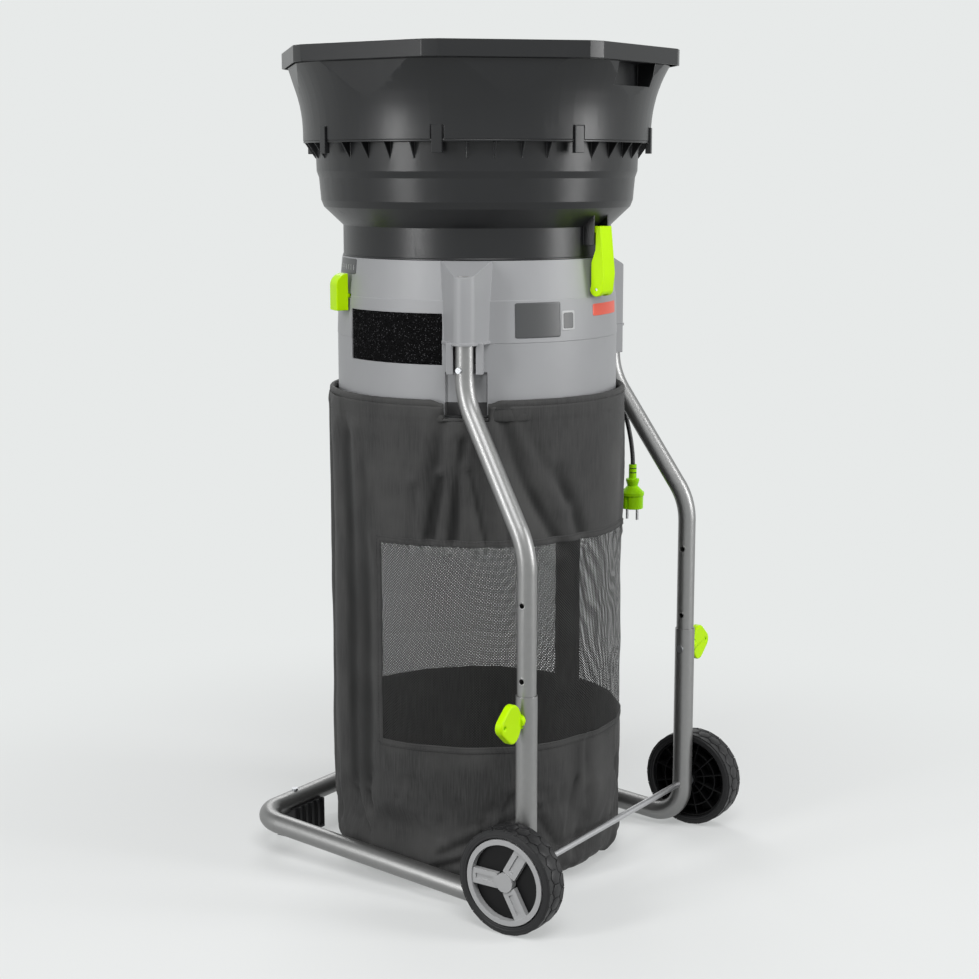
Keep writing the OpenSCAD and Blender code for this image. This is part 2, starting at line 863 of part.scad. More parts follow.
module latch_front() {
    color("#a5dc00") on_drum() rotate([0, 0, 270]) latch();
}

module latch_pins() {
    color("silver") on_drum() for (turn = [90, 270])
        rotate([0, 0, turn]) translate([pin_r, 0, pin_z]) rotate([90, 0, 0])
            cylinder(h = latch_w - slot_skin, d = latch_pin_d, center = true);
}

// MOTOR AND CUTTER

function arm_turns() = [filter_angle + 120, filter_angle + 240];
function arm_screw_r() = shelf_bore_r + arm_screw_inset;

module motor_pod() {
    color("#2f3031") on_drum() difference() {
        union() {
            rotate_extrude() {
                polygon([[0, pod_low_z], [pod_r, pod_low_z], [pod_r, pod_shoulder_z],
                    [pod_crown_r, pod_top_z], [0, pod_top_z]]);
            }
            for (turn = arm_turns()) rotate([0, 0, turn]) intersection() {
                translate([0, -arm_w/2, ledge_z]) cube([2*arm_end_r, arm_w, arm_h]);
                cylinder(h = 2*ledge_z, r = arm_end_r);
            }
            rotate([0, 0, filter_angle]) intersection() {
                translate([0, -duct_w/2, duct_low_z]) cube([2*duct_end_r, duct_w, duct_high_z - duct_low_z]);
                cylinder(h = 2*ledge_z, r = duct_end_r);
            }
        }
        difference() {
            rotate_extrude() polygon([[0, pod_low_z - cut], [pod_r - pod_wall, pod_low_z - cut],
                [pod_r - pod_wall, pod_shoulder_z - pod_wall],
                [pod_crown_r - pod_wall, pod_top_z - pod_top_t], [0, pod_top_z - pod_top_t]]);
            translate([0, 0, pod_top_z - bearing_h - pod_top_t])
                cylinder(h = bearing_h + pod_top_t, r = boss_r);
            for (k = [0 : pod_screw_count - 1]) rotate([0, 0, (k + 1/2)*360/pod_screw_count])
                translate([pod_screw_ring, 0, pod_low_z]) cylinder(h = pod_top_z - pod_low_z, d = pod_boss_d);
        }
        rotate([0, 0, filter_angle])
            translate([pod_r - 2*pod_wall, -duct_w/2 + pod_wall, duct_low_z + pod_wall])
            cube([ledge_r, duct_w - 2*pod_wall, duct_high_z - duct_low_z - 2*pod_wall]);
        translate([0, 0, pod_top_z - bearing_h - pod_top_t - cut])
            cylinder(h = bearing_h + cut, d = bearing_d + 2*run_gap);
        cylinder(h = 2*pod_top_z, d = shaft_d + 4*fit_gap);
        for (turn = arm_turns()) rotate([0, 0, turn]) translate([arm_screw_r(), 0, ledge_z - cut])
            cylinder(h = arm_screw_len - shelf_h + cut, d = pod_screw_d + 2*run_gap);
        pod_screw_places(pod_screw_d + 2*run_gap, pod_low_z - cut, pod_low_z + arm_screw_len);
    }
}

module pod_screw_places(d, low, high) {
    for (k = [0 : pod_screw_count - 1]) rotate([0, 0, (k + 1/2)*360/pod_screw_count])
        translate([pod_screw_ring, 0, low]) cylinder(h = high - low, d = d);
}

module pod_cover() {
    color("#242526") on_drum() difference() {
        union() {
            translate([0, 0, pod_low_z - cover_t]) cylinder(h = cover_t, r = pod_r);
            translate([0, 0, pod_low_z - cover_t]) cylinder(h = bearing_h + 2*cover_t, r = boss_r);
            translate([0, 0, pod_low_z]) difference() {
                cylinder(h = can_low_z - pod_low_z, r = can_r);
                translate([0, 0, -cut]) cylinder(h = can_low_z - pod_low_z + 2*cut, r = can_r - seat_w);
            }
        }
        translate([0, 0, pod_low_z]) cylinder(h = bearing_h + 2*cover_t, d = bearing_d + 2*run_gap);
        translate([0, 0, pod_low_z - 2*cover_t]) cylinder(h = 3*cover_t, d = shaft_d + 4*fit_gap);
        pod_screw_places(pod_screw_d + 2*run_gap, pod_low_z - 2*cover_t, pod_low_z + cut);
    }
}

module pod_screws() {
    color("silver") on_drum() {
        pod_screw_places(pod_screw_d, pod_low_z - cover_t, pod_low_z + arm_screw_len - cut);
        pod_screw_places(pod_screw_head_d, pod_low_z - cover_t - pod_screw_head_h, pod_low_z - cover_t);
    }
}

module arm_screws() {
    color("silver") on_drum() for (turn = arm_turns()) rotate([0, 0, turn]) translate([arm_screw_r(), 0, 0]) {
        translate([0, 0, ledge_z - shelf_h]) cylinder(h = arm_screw_len - cut, d = pod_screw_d);
        translate([0, 0, ledge_z - shelf_h - pod_screw_head_h])
            cylinder(h = pod_screw_head_h, d = pod_screw_head_d);
    }
}

module motor_can() {
    color("#8d8f91") on_drum() translate([0, 0, can_low_z]) difference() {
        cylinder(h = can_high_z - can_low_z, r = can_r);
        translate([0, 0, -cut]) cylinder(h = can_high_z - can_low_z + 2*cut, d = shaft_d + 2*fit_gap);
    }
}

module bearing(low) {
    color("#c9cbcc") on_drum() translate([0, 0, low]) difference() {
        cylinder(h = bearing_h, d = bearing_d);
        translate([0, 0, -cut]) cylinder(h = bearing_h + 2*cut, d = shaft_d + 2*run_gap);
    }
}

module bearing_upper() {
    bearing(pod_top_z - bearing_h - pod_top_t);
}

module bearing_lower() {
    bearing(pod_low_z);
}

module motor_shaft() {
    color("#b9bbbd") on_drum() translate([0, 0, shaft_low_z])
        cylinder(h = head_low_z + head_h + nut_h - shaft_low_z, d = shaft_d);
}

module line_head() {
    color("#1f2021") on_drum() difference() {
        rotate_extrude() polygon([[0, head_low_z], [head_r - head_waist_in, head_low_z],
            [head_r, head_low_z + head_h/4], [head_r, head_low_z + head_h*3/4],
            [head_r - head_waist_in, head_low_z + head_h], [0, head_low_z + head_h]]);
        translate([0, 0, head_low_z - cut]) cylinder(h = head_h + 2*cut, d = shaft_d + 2*run_gap);
        line_places(line_d + 2*run_gap, line_root_r - cut, head_r + cut);
    }
}

module line_places(d, from, to) {
    for (k = [0 : line_count - 1]) rotate([0, 0, k*360/line_count])
        translate([from, 0, head_low_z + head_h/2]) rotate([0, 90, 0]) cylinder(h = to - from, d = d);
}

module cutting_lines() {
    color("#d7d93a") on_drum() line_places(line_d, line_root_r, line_reach);
}

module head_nut() {
    color("silver") on_drum() translate([0, 0, head_low_z + head_h]) difference() {
        cylinder(h = nut_h, d = nut_w, $fn = 6);
        translate([0, 0, -cut]) cylinder(h = nut_h + 2*cut, d = shaft_d + 2*run_gap);
    }
}

// BAG

// Outside of the bag, drawn in by inset: round, with its lower sides pressed in between the rails
module bag_solid(inset, high) {
    side = bag_side_x - inset;
    wide = bag_r + cut;
    intersection() {
        rotate_extrude() {
            ring_box(0, bag_r - inset, bag_low_z + bag_foot_round, high);
            ring_box(0, bag_r - bag_foot_round, bag_low_z + inset, high);
            intersection() {
                translate([bag_r - bag_foot_round, bag_low_z + bag_foot_round])
                    circle(r = bag_foot_round - inset);
                ring_box(0, bag_r, bag_low_z, high);
            }
        }
        translate([0, bag_r + cut, 0]) rotate([90, 0, 0]) linear_extrude(2*(bag_r + cut))
            polygon([[-side, 0], [side, 0], [side, bag_taper_low_z], [wide, bag_taper_high_z], [wide, high],
                [-wide, high], [-wide, bag_taper_high_z], [-side, bag_taper_low_z]]);
    }
}

module leaf_bag() {
    color("#3a3b3b") on_drum() difference() {
        bag_solid(0, housing_low_z - bead_h);
        bag_solid(bag_wall, housing_low_z);
        for (k = [0 : len(window_starts) - 1]) sector(window_starts[k], window_spans[k])
            ring_box(bag_r - 2*bag_wall, bag_r + cut, window_low_z, window_high_z);
    }
}

module bag_windows() {
    edge = atan2(fit_gap, bag_r);
    color("#6b6c6c") on_drum() for (k = [0 : len(window_starts) - 1])
        sector(window_starts[k] + edge, window_spans[k] - 2*edge)
            ring_box(bag_r - 2*bag_wall/3, bag_r - bag_wall/3,
                window_low_z + fit_gap, window_high_z - fit_gap);
}

module bag_hem() {
    color("#343535") on_drum() difference() {
        rotate_extrude() ring_box(hem_in_r, hem_out_r, housing_low_z - bead_h, hem_top_z);
        both_sides() at_socket()
            translate([-socket_reach/2, -hem_notch_half, housing_low_z - bead_h + bag_wall])
            cube([socket_reach, 2*hem_notch_half, hem_top_z]);
        translate([0, 0, housing_low_z - bead_h - cut])
            cylinder(h = bead_h + cut + fit_gap, r = bead_r + fit_gap);
    }
}

module bag_ring() {
    color("#7c7e80") on_drum() translate([0, 0, housing_low_z + bag_wire_r]) rotate_extrude()
        translate([ring_r + bag_wire_r + fit_gap, 0]) circle(r = bag_wire_r);
}

// LEGS AND FRAME

leg_path = [[socket_x, drum_y + socket_y, leg_top_z], [socket_x, drum_y + socket_y, leg_upper_bend_z],
    [leg_x, leg_y, leg_lower_bend_z], [leg_x, leg_y, leg_low_z]];
frame_path = [[leg_x, leg_y, sleeve_top_z], [leg_x, leg_y, rail_low_z], [leg_x, bar_y, crossbar_z],
    [crossbar_half, bar_y, crossbar_z]];

module upper_tube() {
    color("#b3b4b5") difference() {
        bent_bar(leg_path, leg_bend_r, leg_r);
        bent_bar(leg_path, leg_bend_r, leg_bore_r, cut);
        for (z = adjust_holes_z) x_bar([leg_x, leg_y, z], adjust_hole_d/2, 4*leg_r);
        x_bar([socket_x, drum_y + socket_y, leg_screw_z], leg_screw_d/2 + run_gap, 4*leg_r);
    }
}

module right_upper_tube() {
    upper_tube();
}

module left_upper_tube() {
    mirror([1, 0, 0]) upper_tube();
}

module leg_screws() {
    head_x = socket_x + leg_r;
    shank = 2*leg_r + screw_boss_len/2;
    color("#d5d7d8") on_drum() both_sides() {
        x_bar([head_x + leg_screw_head_h/2, socket_y, leg_screw_z], leg_screw_head_d/2, leg_screw_head_h);
        x_bar([head_x - shank/2, socket_y, leg_screw_z], leg_screw_d/2, shank);
    }
}

module base_tube() {
    color("#9fa1a3") difference() {
        bent_bar(frame_path, frame_bend_r, frame_r);
        bent_bar(frame_path, frame_bend_r, frame_bore_r, cut);
        x_bar([leg_x, leg_y, wheel_r], axle_d/2 + run_gap, 4*frame_r);
        x_bar([leg_x, leg_y, knob_z], stud_d/2 + run_gap, 4*frame_r);
    }
}

module right_base_tube() {
    base_tube();
}

module left_base_tube() {
    mirror([1, 0, 0]) base_tube();
}

module foot_screw_holes(d) {
    both_sides() translate([foot_screw_x, bar_y, foot_screw_low_z])
        cylinder(h = crossbar_z + frame_r - foot_screw_low_z + cut, d = d);
}

module crossbar() {
    color("#8e9092") difference() {
        x_bar([0, bar_y, crossbar_z], frame_r, 2*crossbar_half);
        x_bar([0, bar_y, crossbar_z], frame_bore_r, 2*crossbar_half + 2*cut);
        foot_screw_holes(foot_screw_d + 2*run_gap);
    }
}

module crossbar_sleeves() {
    sleeve_r = frame_bore_r - run_gap;
    sleeve_mid = crossbar_half + (sleeve_out - sleeve_in)/2;
    color("#77797b") difference() {
        both_sides() difference() {
            x_bar([sleeve_mid, bar_y, crossbar_z], sleeve_r, sleeve_in + sleeve_out);
            x_bar([sleeve_mid, bar_y, crossbar_z], sleeve_r - frame_tube_wall,
                sleeve_in + sleeve_out + 2*cut);
        }
        foot_screw_holes(foot_screw_d + 2*run_gap);
    }
}

module foot_screws() {
    color("#d5d7d8") both_sides() translate([foot_screw_x, bar_y, 0]) {
        translate([0, 0, foot_screw_low_z + cut])
            cylinder(h = crossbar_z + frame_r - foot_screw_low_z - cut, d = foot_screw_d);
        translate([0, 0, crossbar_z + frame_r]) cylinder(h = foot_screw_head_h, d = foot_screw_head_d);
    }
}

module foot() {
    rib_pitch = foot_len/foot_rib_count;
    color("#1d1e1f") difference() {
        translate([foot_in_x, bar_y - frame_r, 0]) cube([foot_len, frame_r + foot_back, foot_h]);
        x_bar([foot_in_x + foot_len/2, bar_y, crossbar_z], frame_r + run_gap, foot_len + 2*cut);
        foot_screw_holes(foot_screw_d + 2*run_gap);
        for (k = [0 : foot_rib_count - 1])
            translate([foot_in_x + rib_pitch*(k + 1/2) - (rib_pitch - foot_rib_w)/2,
                bar_y + foot_back - foot_rib_depth, foot_rib_w])
                cube([rib_pitch - foot_rib_w, foot_rib_depth + cut, foot_h]);
    }
}

module right_foot() {
    foot();
}

module left_foot() {
    mirror([1, 0, 0]) foot();
}

// AXLE AND WHEELS

module axle() {
    color("#b9bbbd") x_bar([0, leg_y, wheel_r], axle_d/2, 2*axle_end_x);
}

module wheel_washers() {
    washer_t = wheel_gap - 2*fit_gap;
    color("#c9cbcc") both_sides() difference() {
        x_bar([leg_x + frame_r + wheel_gap/2, leg_y, wheel_r], washer_d/2, washer_t);
        x_bar([leg_x + frame_r + wheel_gap/2, leg_y, wheel_r], axle_d/2 + run_gap, wheel_gap);
    }
}

module axle_caps() {
    color("#c9cbcc") both_sides() difference() {
        x_bar([axle_end_x + cap_wall - cap_len/2, leg_y, wheel_r], axle_d/2 + cap_wall, cap_len);
        x_bar([axle_end_x - cap_len, leg_y, wheel_r], axle_d/2 + run_gap, 2*cap_len);
    }
}

// Draws a child round the right wheel's axle: its Z runs outwards along X from the wheel's inner face
module on_wheel() {
    translate([wheel_in_x, leg_y, wheel_r]) rotate([0, 90, 0]) children();
}

module tyre() {
    color("#2c2d2e") on_wheel() rotate_extrude() difference() {
        ring_box(tyre_bore_r, wheel_r, 0, wheel_w);
        for (side = [0, 1]) translate([wheel_r - tyre_round, side*(wheel_w - tyre_round)]) difference() {
            square([tyre_round + cut, tyre_round]);
            translate([0, (1 - side)*tyre_round]) circle(r = tyre_round);
        }
    }
}

module wheel_core() {
    rim_r = tyre_bore_r - fit_gap/3;
    web_low = web_x - wheel_in_x;
    rib_low = web_low - core_rib_h;
    color("#1b1c1d") on_wheel() difference() {
        union() {
            cylinder(h = hub_len + web_t/2, r = hub_r);
            translate([0, 0, web_low]) cylinder(h = web_t, r = rim_r - core_rim_t/2);
            rotate_extrude() ring_box(rim_r - core_rim_t, rim_r, rib_low, web_low + web_t*3/4);
            rotate_extrude() for (share = core_ring_shares)
                ring_box(rim_r*share, rim_r*share + core_rib_t, rib_low + 2*core_rib_drop, web_low + web_t/2);
            for (k = [0 : core_rib_count - 1]) rotate([0, 0, (k + 1/2)*360/core_rib_count])
                translate([hub_r - core_rib_t, -core_rib_t/2, rib_low + core_rib_drop])
                    cube([rim_r - core_rim_t/2 - hub_r + core_rib_t, core_rib_t,
                        core_rib_h - core_rib_drop + web_t/2]);
        }
        translate([0, 0, -cut]) cylinder(h = wheel_w + 2*cut, d = axle_d + 2*run_gap);
    }
}

module wheel_trim() {
    trim_low = web_x - wheel_in_x + web_t;
    trim_high = wheel_w - 2*fit_gap;
    color("#afb1b3") on_wheel() {
        rotate_extrude() ring_box(trim_r - trim_ring_w, trim_r, trim_low, trim_high);
        for (k = [0 : spoke_count - 1]) rotate([0, 0, spoke_angle(k)]) difference() {
            translate([hub_cap_r - hub_cap_wall/2, -spoke_w/2, trim_low])
                cube([trim_r - trim_ring_w/2 - hub_cap_r + hub_cap_wall/2, spoke_w,
                    trim_high - trim_low - trim_t/2]);
            translate([hub_cap_r + spoke_w/4, -spoke_w/6, trim_high - trim_t])
                cube([trim_r - trim_ring_w - hub_cap_r - spoke_w/2, spoke_w/3, trim_t]);
        }
        difference() {
            translate([0, 0, trim_low]) cylinder(h = trim_high - trim_low, r = hub_cap_r);
            translate([0, 0, trim_low - cut]) cylinder(h = trim_high - trim_low - hub_cap_wall + cut,
                r = hub_cap_r - hub_cap_wall);
        }
    }
}

// One spoke points forwards and level
function spoke_angle(k) = spoke_turn + 90 + k*360/spoke_count;

module right_tyre() {
    tyre();
}

module left_tyre() {
    mirror([1, 0, 0]) tyre();
}

module right_wheel_core() {
    wheel_core();
}

module left_wheel_core() {
    mirror([1, 0, 0]) wheel_core();
}

module right_wheel_trim() {
    wheel_trim();
}

module left_wheel_trim() {
    mirror([1, 0, 0]) wheel_trim();
}

// LOCK KNOBS

module knob() {
    face_x = leg_x + frame_r + fit_gap;
    color("#a5dc00") difference() {
        union() {
            x_bar([face_x + knob_hub_len/2, leg_y, knob_z], knob_hub_d/2, knob_hub_len);
            translate([face_x, leg_y + knob_t/2, knob_z]) rotate([90, 0, 0]) linear_extrude(knob_t) hull() {
                translate([knob_root + knob_wide_half*knob_belly_share, 0]) scale([knob_belly_share, 1])
                    circle(r = knob_wide_half, $fn = 64);
                translate([knob_len - knob_round, 0]) circle(r = knob_round, $fn = 48);
            }
            x_bar([(face_x + knob_hub_len + leg_x + leg_r + stud_stop)/2, leg_y, knob_z], stud_d/2,
                face_x + knob_hub_len - leg_x - leg_r - stud_stop);
        }
        translate([face_x + knob_len - knob_hole_inset, leg_y, knob_z]) rotate([90, 0, 0])
            cylinder(h = 2*knob_t, d = knob_hole_d, center = true);
    }
}

module right_knob() {
    knob();
}

module left_knob() {
    mirror([1, 0, 0]) knob();
}

module leg_bolts() {
    wall_x = leg_x - frame_r;
    color("#d5d7d8") both_sides() {
        x_bar([wall_x - bolt_head_h/2, leg_y, knob_z], bolt_head_d/2, bolt_head_h);
        x_bar([wall_x + (frame_tube_wall - fit_gap/2)/2, leg_y, knob_z], stud_d/2,
            frame_tube_wall - fit_gap/2);
    }
}

// LEAD AND PLUG

module cord_gland() {
    color("#222324") at_gland() difference() {
        cylinder(h = gland_len, r1 = gland_tip_r, r2 = gland_base_r);
        translate([0, 0, -cut]) cylinder(h = gland_len + 2*cut, d = cord_d + 2*run_gap);
    }
}

// Direction of the lead at point i, and the two cross directions of its ring
function cord_way(i) = unit(cord_points[min(i + 1, cord_last)] - cord_points[max(i - 1, 0)]);
function cord_side(i) = unit(cross(cord_way(i), [1, 0, 0]));
function cord_rise(i) = cross(cord_side(i), cord_way(i));
function cord_ring(i) = [for (k = [0 : cord_sides - 1])
    cord_points[i] + cord_d/2*(cos(k*360/cord_sides)*cord_side(i) + sin(k*360/cord_sides)*cord_rise(i))];

module power_cord() {
    rings = [for (i = [0 : cord_last]) each cord_ring(i)];
    sides_of = [for (i = [0 : cord_last - 1], k = [0 : cord_sides - 1])
        let (a = i*cord_sides + k, b = i*cord_sides + (k + 1) % cord_sides)
        each [[a, b, b + cord_sides], [a, b + cord_sides, a + cord_sides]]];
    first_end = [for (k = [0 : cord_sides - 1]) cord_sides - 1 - k];
    last_end = [for (k = [0 : cord_sides - 1]) cord_last*cord_sides + k];
    color("#2a2b2b") polyhedron(points = rings, faces = concat(sides_of, [first_end, last_end]));
}

module plug() {
    collar_z = -plug_relief_h - plug_collar_h;
    waist_z = collar_z - plug_waist_h;
    flange_z = waist_z - plug_flare_h;
    body_z = flange_z - plug_flange_h;
    low_z = -plug_len;
    color("#8cc814") translate(plug_top) difference() {
        rotate_extrude() polygon([[0, 0], [plug_relief_r, 0], [plug_relief_r, -plug_relief_h],
            [plug_collar_r, -plug_relief_h], [plug_collar_r, collar_z], [plug_waist_r, waist_z],
            [plug_flange_r, flange_z], [plug_flange_r, body_z], [plug_body_r, body_z],
            [plug_body_r, low_z], [0, low_z]]);
        for (side = [-1, 1])
            translate([side*plug_body_r - plug_groove_depth, -plug_groove_w/2, low_z - cut])
                cube([2*plug_groove_depth, plug_groove_w, plug_body_h + cut]);
        plug_pin_places(pin_d + 2*run_gap, low_z - cut, low_z + pin_root);
        translate([0, 0, -plug_bore_h]) cylinder(h = plug_bore_h + cut, d = cord_d + 2*run_gap);
    }
}

module plug_pin_places(d, low, high) {
    for (side = [-1, 1]) translate([0, side*pin_pitch/2, low]) cylinder(h = high - low, d = d);
}

module plug_pins() {
    color("#c0c2c3") translate(plug_top)
        plug_pin_places(pin_d, -plug_len - pin_len, pin_root - plug_len);
}

hopper_upper();
hopper_lower();
housing_upper();
housing_lower();
air_filter();
selector_lever();
selector_ring();
latch_rear();
latch_front();
latch_pins();
motor_pod();
pod_cover();
pod_screws();
arm_screws();
motor_can();
bearing_upper();
bearing_lower();
motor_shaft();
line_head();
cutting_lines();
head_nut();
leaf_bag();
bag_windows();
bag_hem();
bag_ring();
right_upper_tube();
left_upper_tube();
leg_screws();
right_base_tube();
left_base_tube();
crossbar();
crossbar_sleeves();
foot_screws();
right_foot();
left_foot();
axle();
wheel_washers();
axle_caps();
right_tyre();
right_wheel_core();
right_wheel_trim();
left_tyre();
left_wheel_core();
left_wheel_trim();
right_knob();
left_knob();
leg_bolts();
cord_gland();
power_cord();
plug();
plug_pins();
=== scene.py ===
# %% [markdown]
# # Dressing a leaf shredder
# The CAD model gives every rigid part its place and size, in metres. This lesson keeps that frame
# fixed and adds what CAD leaves plain: soft edges, cloth, rubber, finishes, light and a camera.

# %% Load the fixed frame
import json
import math
import random

import bmesh
import bpy
import numpy as np
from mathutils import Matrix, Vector, noise
from mathutils.bvhtree import BVHTree


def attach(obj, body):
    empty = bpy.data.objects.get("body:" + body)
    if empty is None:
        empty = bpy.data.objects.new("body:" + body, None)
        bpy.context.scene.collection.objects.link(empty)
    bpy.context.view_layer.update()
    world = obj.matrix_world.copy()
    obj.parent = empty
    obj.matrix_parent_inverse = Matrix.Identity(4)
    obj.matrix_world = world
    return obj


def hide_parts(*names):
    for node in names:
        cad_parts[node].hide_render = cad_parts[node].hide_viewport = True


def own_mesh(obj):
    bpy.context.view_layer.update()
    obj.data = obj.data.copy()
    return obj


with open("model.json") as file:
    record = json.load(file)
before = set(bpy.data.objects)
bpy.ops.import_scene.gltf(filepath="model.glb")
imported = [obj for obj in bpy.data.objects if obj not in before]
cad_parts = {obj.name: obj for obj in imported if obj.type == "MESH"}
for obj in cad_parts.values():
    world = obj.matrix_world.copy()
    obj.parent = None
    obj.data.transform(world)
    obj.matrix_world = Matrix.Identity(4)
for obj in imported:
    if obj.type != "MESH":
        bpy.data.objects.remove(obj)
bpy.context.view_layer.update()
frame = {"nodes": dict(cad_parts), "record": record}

scene = bpy.context.scene
scene.view_settings.view_transform = "Standard"
nodes = frame["nodes"]

# %% [markdown]
# ## The camera
# The photograph looks down a little on the machine from the front right, with a long lens. Its place
# was worked out from the round edges of the drum, so the render can be laid over the photograph.

# %% Place the camera
HEADING, DIP = math.radians(34.29), math.radians(9.96)
EYE_AT = (2.3925, 1.6348, 1.100)


def in_scene(name, data):
    made = bpy.data.objects.new(name, data)
    scene.collection.objects.link(made)
    return made


look = Vector((-math.cos(HEADING) * math.cos(DIP), -math.sin(HEADING) * math.cos(DIP), -math.sin(DIP)))
lens = bpy.data.cameras.new("photo_eye")
lens.sensor_width = 36.0
lens.lens = 67.66
eye = in_scene("photo_eye", lens)
eye.location = EYE_AT
eye.rotation_euler = look.to_track_quat("-Z", "Y").to_euler()
scene.camera = eye
print("camera looks along", [round(x, 3) for x in look])

# %% [markdown]
# ## Small helpers for node trees
# Shader trees and geometry trees are both made of nodes and links, so one helper adds a node, sets
# its options and fills its inputs. A socket given as a value becomes a link. Another helper opens a
# node group with named sockets. The short ones after them mix colours, rescale values, do sums, and
# give coordinates, noise and bumps, which nearly every finish needs.

# %% Node helpers
def add(tree, kind, inputs=None, **settings):
    made = tree.nodes.new(kind)
    for key, value in settings.items():
        setattr(made, key, value)
    for key, value in (inputs or {}).items():
        if isinstance(value, bpy.types.NodeSocket):
            tree.links.new(value, made.inputs[key])
        else:
            made.inputs[key].default_value = value
    return made


def begin_group(name, inputs, outputs, kind="ShaderNodeTree"):
    tree = bpy.data.node_groups.new(name, kind)
    for label, sort, value in inputs:
        socket = tree.interface.new_socket(label, in_out="INPUT", socket_type=sort)
        if value is not None:
            socket.default_value = value
    for label, sort in outputs:
        tree.interface.new_socket(label, in_out="OUTPUT", socket_type=sort)
    return tree, tree.nodes.new("NodeGroupInput").outputs, tree.nodes.new("NodeGroupOutput").inputs


def mixed(tree, share, first, second):
    blend = add(tree, "ShaderNodeMix", {0: share, 6: first, 7: second}, data_type="RGBA")
    return blend.outputs[2]


def remap(tree, value, low, high, to_low=0.0, to_high=1.0):
    spans = {"Value": value, "From Min": low, "From Max": high, "To Min": to_low, "To Max": to_high}
    return add(tree, "ShaderNodeMapRange", spans).outputs[0]


def maths(tree, operation, first, second=0.0):
    return add(tree, "ShaderNodeMath", {0: first, 1: second}, operation=operation).outputs[0]


def coords(tree, kind="Object"):
    return add(tree, "ShaderNodeTexCoord").outputs[kind]


def cloudy(tree, at, scale, detail, **more):
    inputs = {"Vector": at, "Scale": scale, "Detail": detail, **more}
    return add(tree, "ShaderNodeTexNoise", inputs).outputs[0]


def bumped(tree, skin, height, strength, distance):
    bumps = add(tree, "ShaderNodeBump", {"Height": height, "Strength": strength, "Distance": distance})
    tree.links.new(bumps.outputs[0], skin["Normal"])


FLOAT = "NodeSocketFloat"
print("node helpers ready")

# %% [markdown]
# ## Shared effects
# Moulded plastic has a fine spark-eroded grain, slow changes of tone where it cooled, and faint
# scuffs. Dust settles on whatever faces up. Drawn metal has streaks along the draw. Woven cloth rises
# and falls where threads cross. Several finishes need each of these, so each is a shader group that
# gives out heights, tones and masks, and the shader itself stays in the material.

# %% Shader group for moulded grain
grain_group, given, out = begin_group(
    "Moulded grain", [("Grain", FLOAT, 1500.0), ("Cloud", FLOAT, 9.0)],
    [("Height", FLOAT), ("Tone", FLOAT), ("Scuff", FLOAT)])
place = coords(grain_group)
grain_group.links.new(cloudy(grain_group, place, given["Grain"], 2.0), out["Height"])
clouds = cloudy(grain_group, place, given["Cloud"], 4.0)
grain_group.links.new(remap(grain_group, clouds, 0.3, 0.7), out["Tone"])
drawn_out = add(grain_group, "ShaderNodeMapping", {"Vector": place, "Scale": (1.0, 1.0, 0.3)}).outputs[0]
scuffs = cloudy(grain_group, drawn_out, 42.0, 6.0, Roughness=0.7)
grain_group.links.new(remap(grain_group, scuffs, 0.58, 0.76), out["Scuff"])
print(grain_group.name, "has", len(grain_group.nodes), "nodes")

# %% Shader group for settled dust
dust_group, given, out = begin_group("Settled dust", [("Amount", FLOAT, 0.2)], [("Dust", FLOAT)])
facing = add(dust_group, "ShaderNodeNewGeometry").outputs["Normal"]
rise = add(dust_group, "ShaderNodeSeparateXYZ", {"Vector": facing}).outputs["Z"]
specks = cloudy(dust_group, coords(dust_group), 130.0, 5.0)
lying = maths(dust_group, "MULTIPLY", remap(dust_group, rise, 0.7, 1.0), remap(dust_group, specks, 0.42, 0.68))
dust_group.links.new(maths(dust_group, "MULTIPLY", lying, given["Amount"]), out["Dust"])
print(dust_group.name, "has", len(dust_group.nodes), "nodes")

# %% Shader group for drawn metal
metal_group, given, out = begin_group(
    "Drawn metal", [("Stretch", "NodeSocketVector", (260.0, 260.0, 9.0))],
    [("Streak", FLOAT), ("Stain", FLOAT)])
place = coords(metal_group)
pulled = add(metal_group, "ShaderNodeVectorMath", {0: place, 1: given["Stretch"]}, operation="MULTIPLY")
streaks = cloudy(metal_group, pulled.outputs[0], 1.0, 1.0)
metal_group.links.new(remap(metal_group, streaks, 0.3, 0.7), out["Streak"])
metal_group.links.new(remap(metal_group, cloudy(metal_group, place, 24.0, 6.0), 0.52, 0.72), out["Stain"])
print(metal_group.name, "has", len(metal_group.nodes), "nodes")

# %% Shader group for woven cloth
weave_group, given, out = begin_group(
    "Cloth weave", [("Pitch", FLOAT, 0.0012)], [("Height", FLOAT), ("Slub", FLOAT), ("Rub", FLOAT)])
flat_place = coords(weave_group, "UV")
waves = maths(weave_group, "DIVIDE", math.tau, given["Pitch"])
spun = add(weave_group, "ShaderNodeVectorMath", {0: flat_place, "Scale": waves}, operation="SCALE")
thread = add(weave_group, "ShaderNodeSeparateXYZ", {"Vector": spun.outputs[0]})
crossing = maths(weave_group, "MULTIPLY", *[maths(weave_group, "SINE", thread.outputs[axis]) for axis in "XY"])
weave_group.links.new(remap(weave_group, crossing, -1.0, 1.0), out["Height"])
thick = add(weave_group, "ShaderNodeMapping", {"Vector": flat_place, "Scale": (420.0, 26.0, 1.0)}).outputs[0]
weave_group.links.new(remap(weave_group, cloudy(weave_group, thick, 1.0, 3.0), 0.3, 0.7), out["Slub"])
rubs = cloudy(weave_group, coords(weave_group), 11.0, 7.0)
weave_group.links.new(remap(weave_group, rubs, 0.4, 0.7), out["Rub"])
print("shader groups:", [g.name for g in bpy.data.node_groups])

# %% [markdown]
# ## Finishes
# Each finish is named for its piece. The plastics share one maker, because they differ only in
# colour, gloss and coarseness of grain. Numbers that hold all over a surface sit on the shader's own
# sockets, and only what changes over the surface comes through the groups.

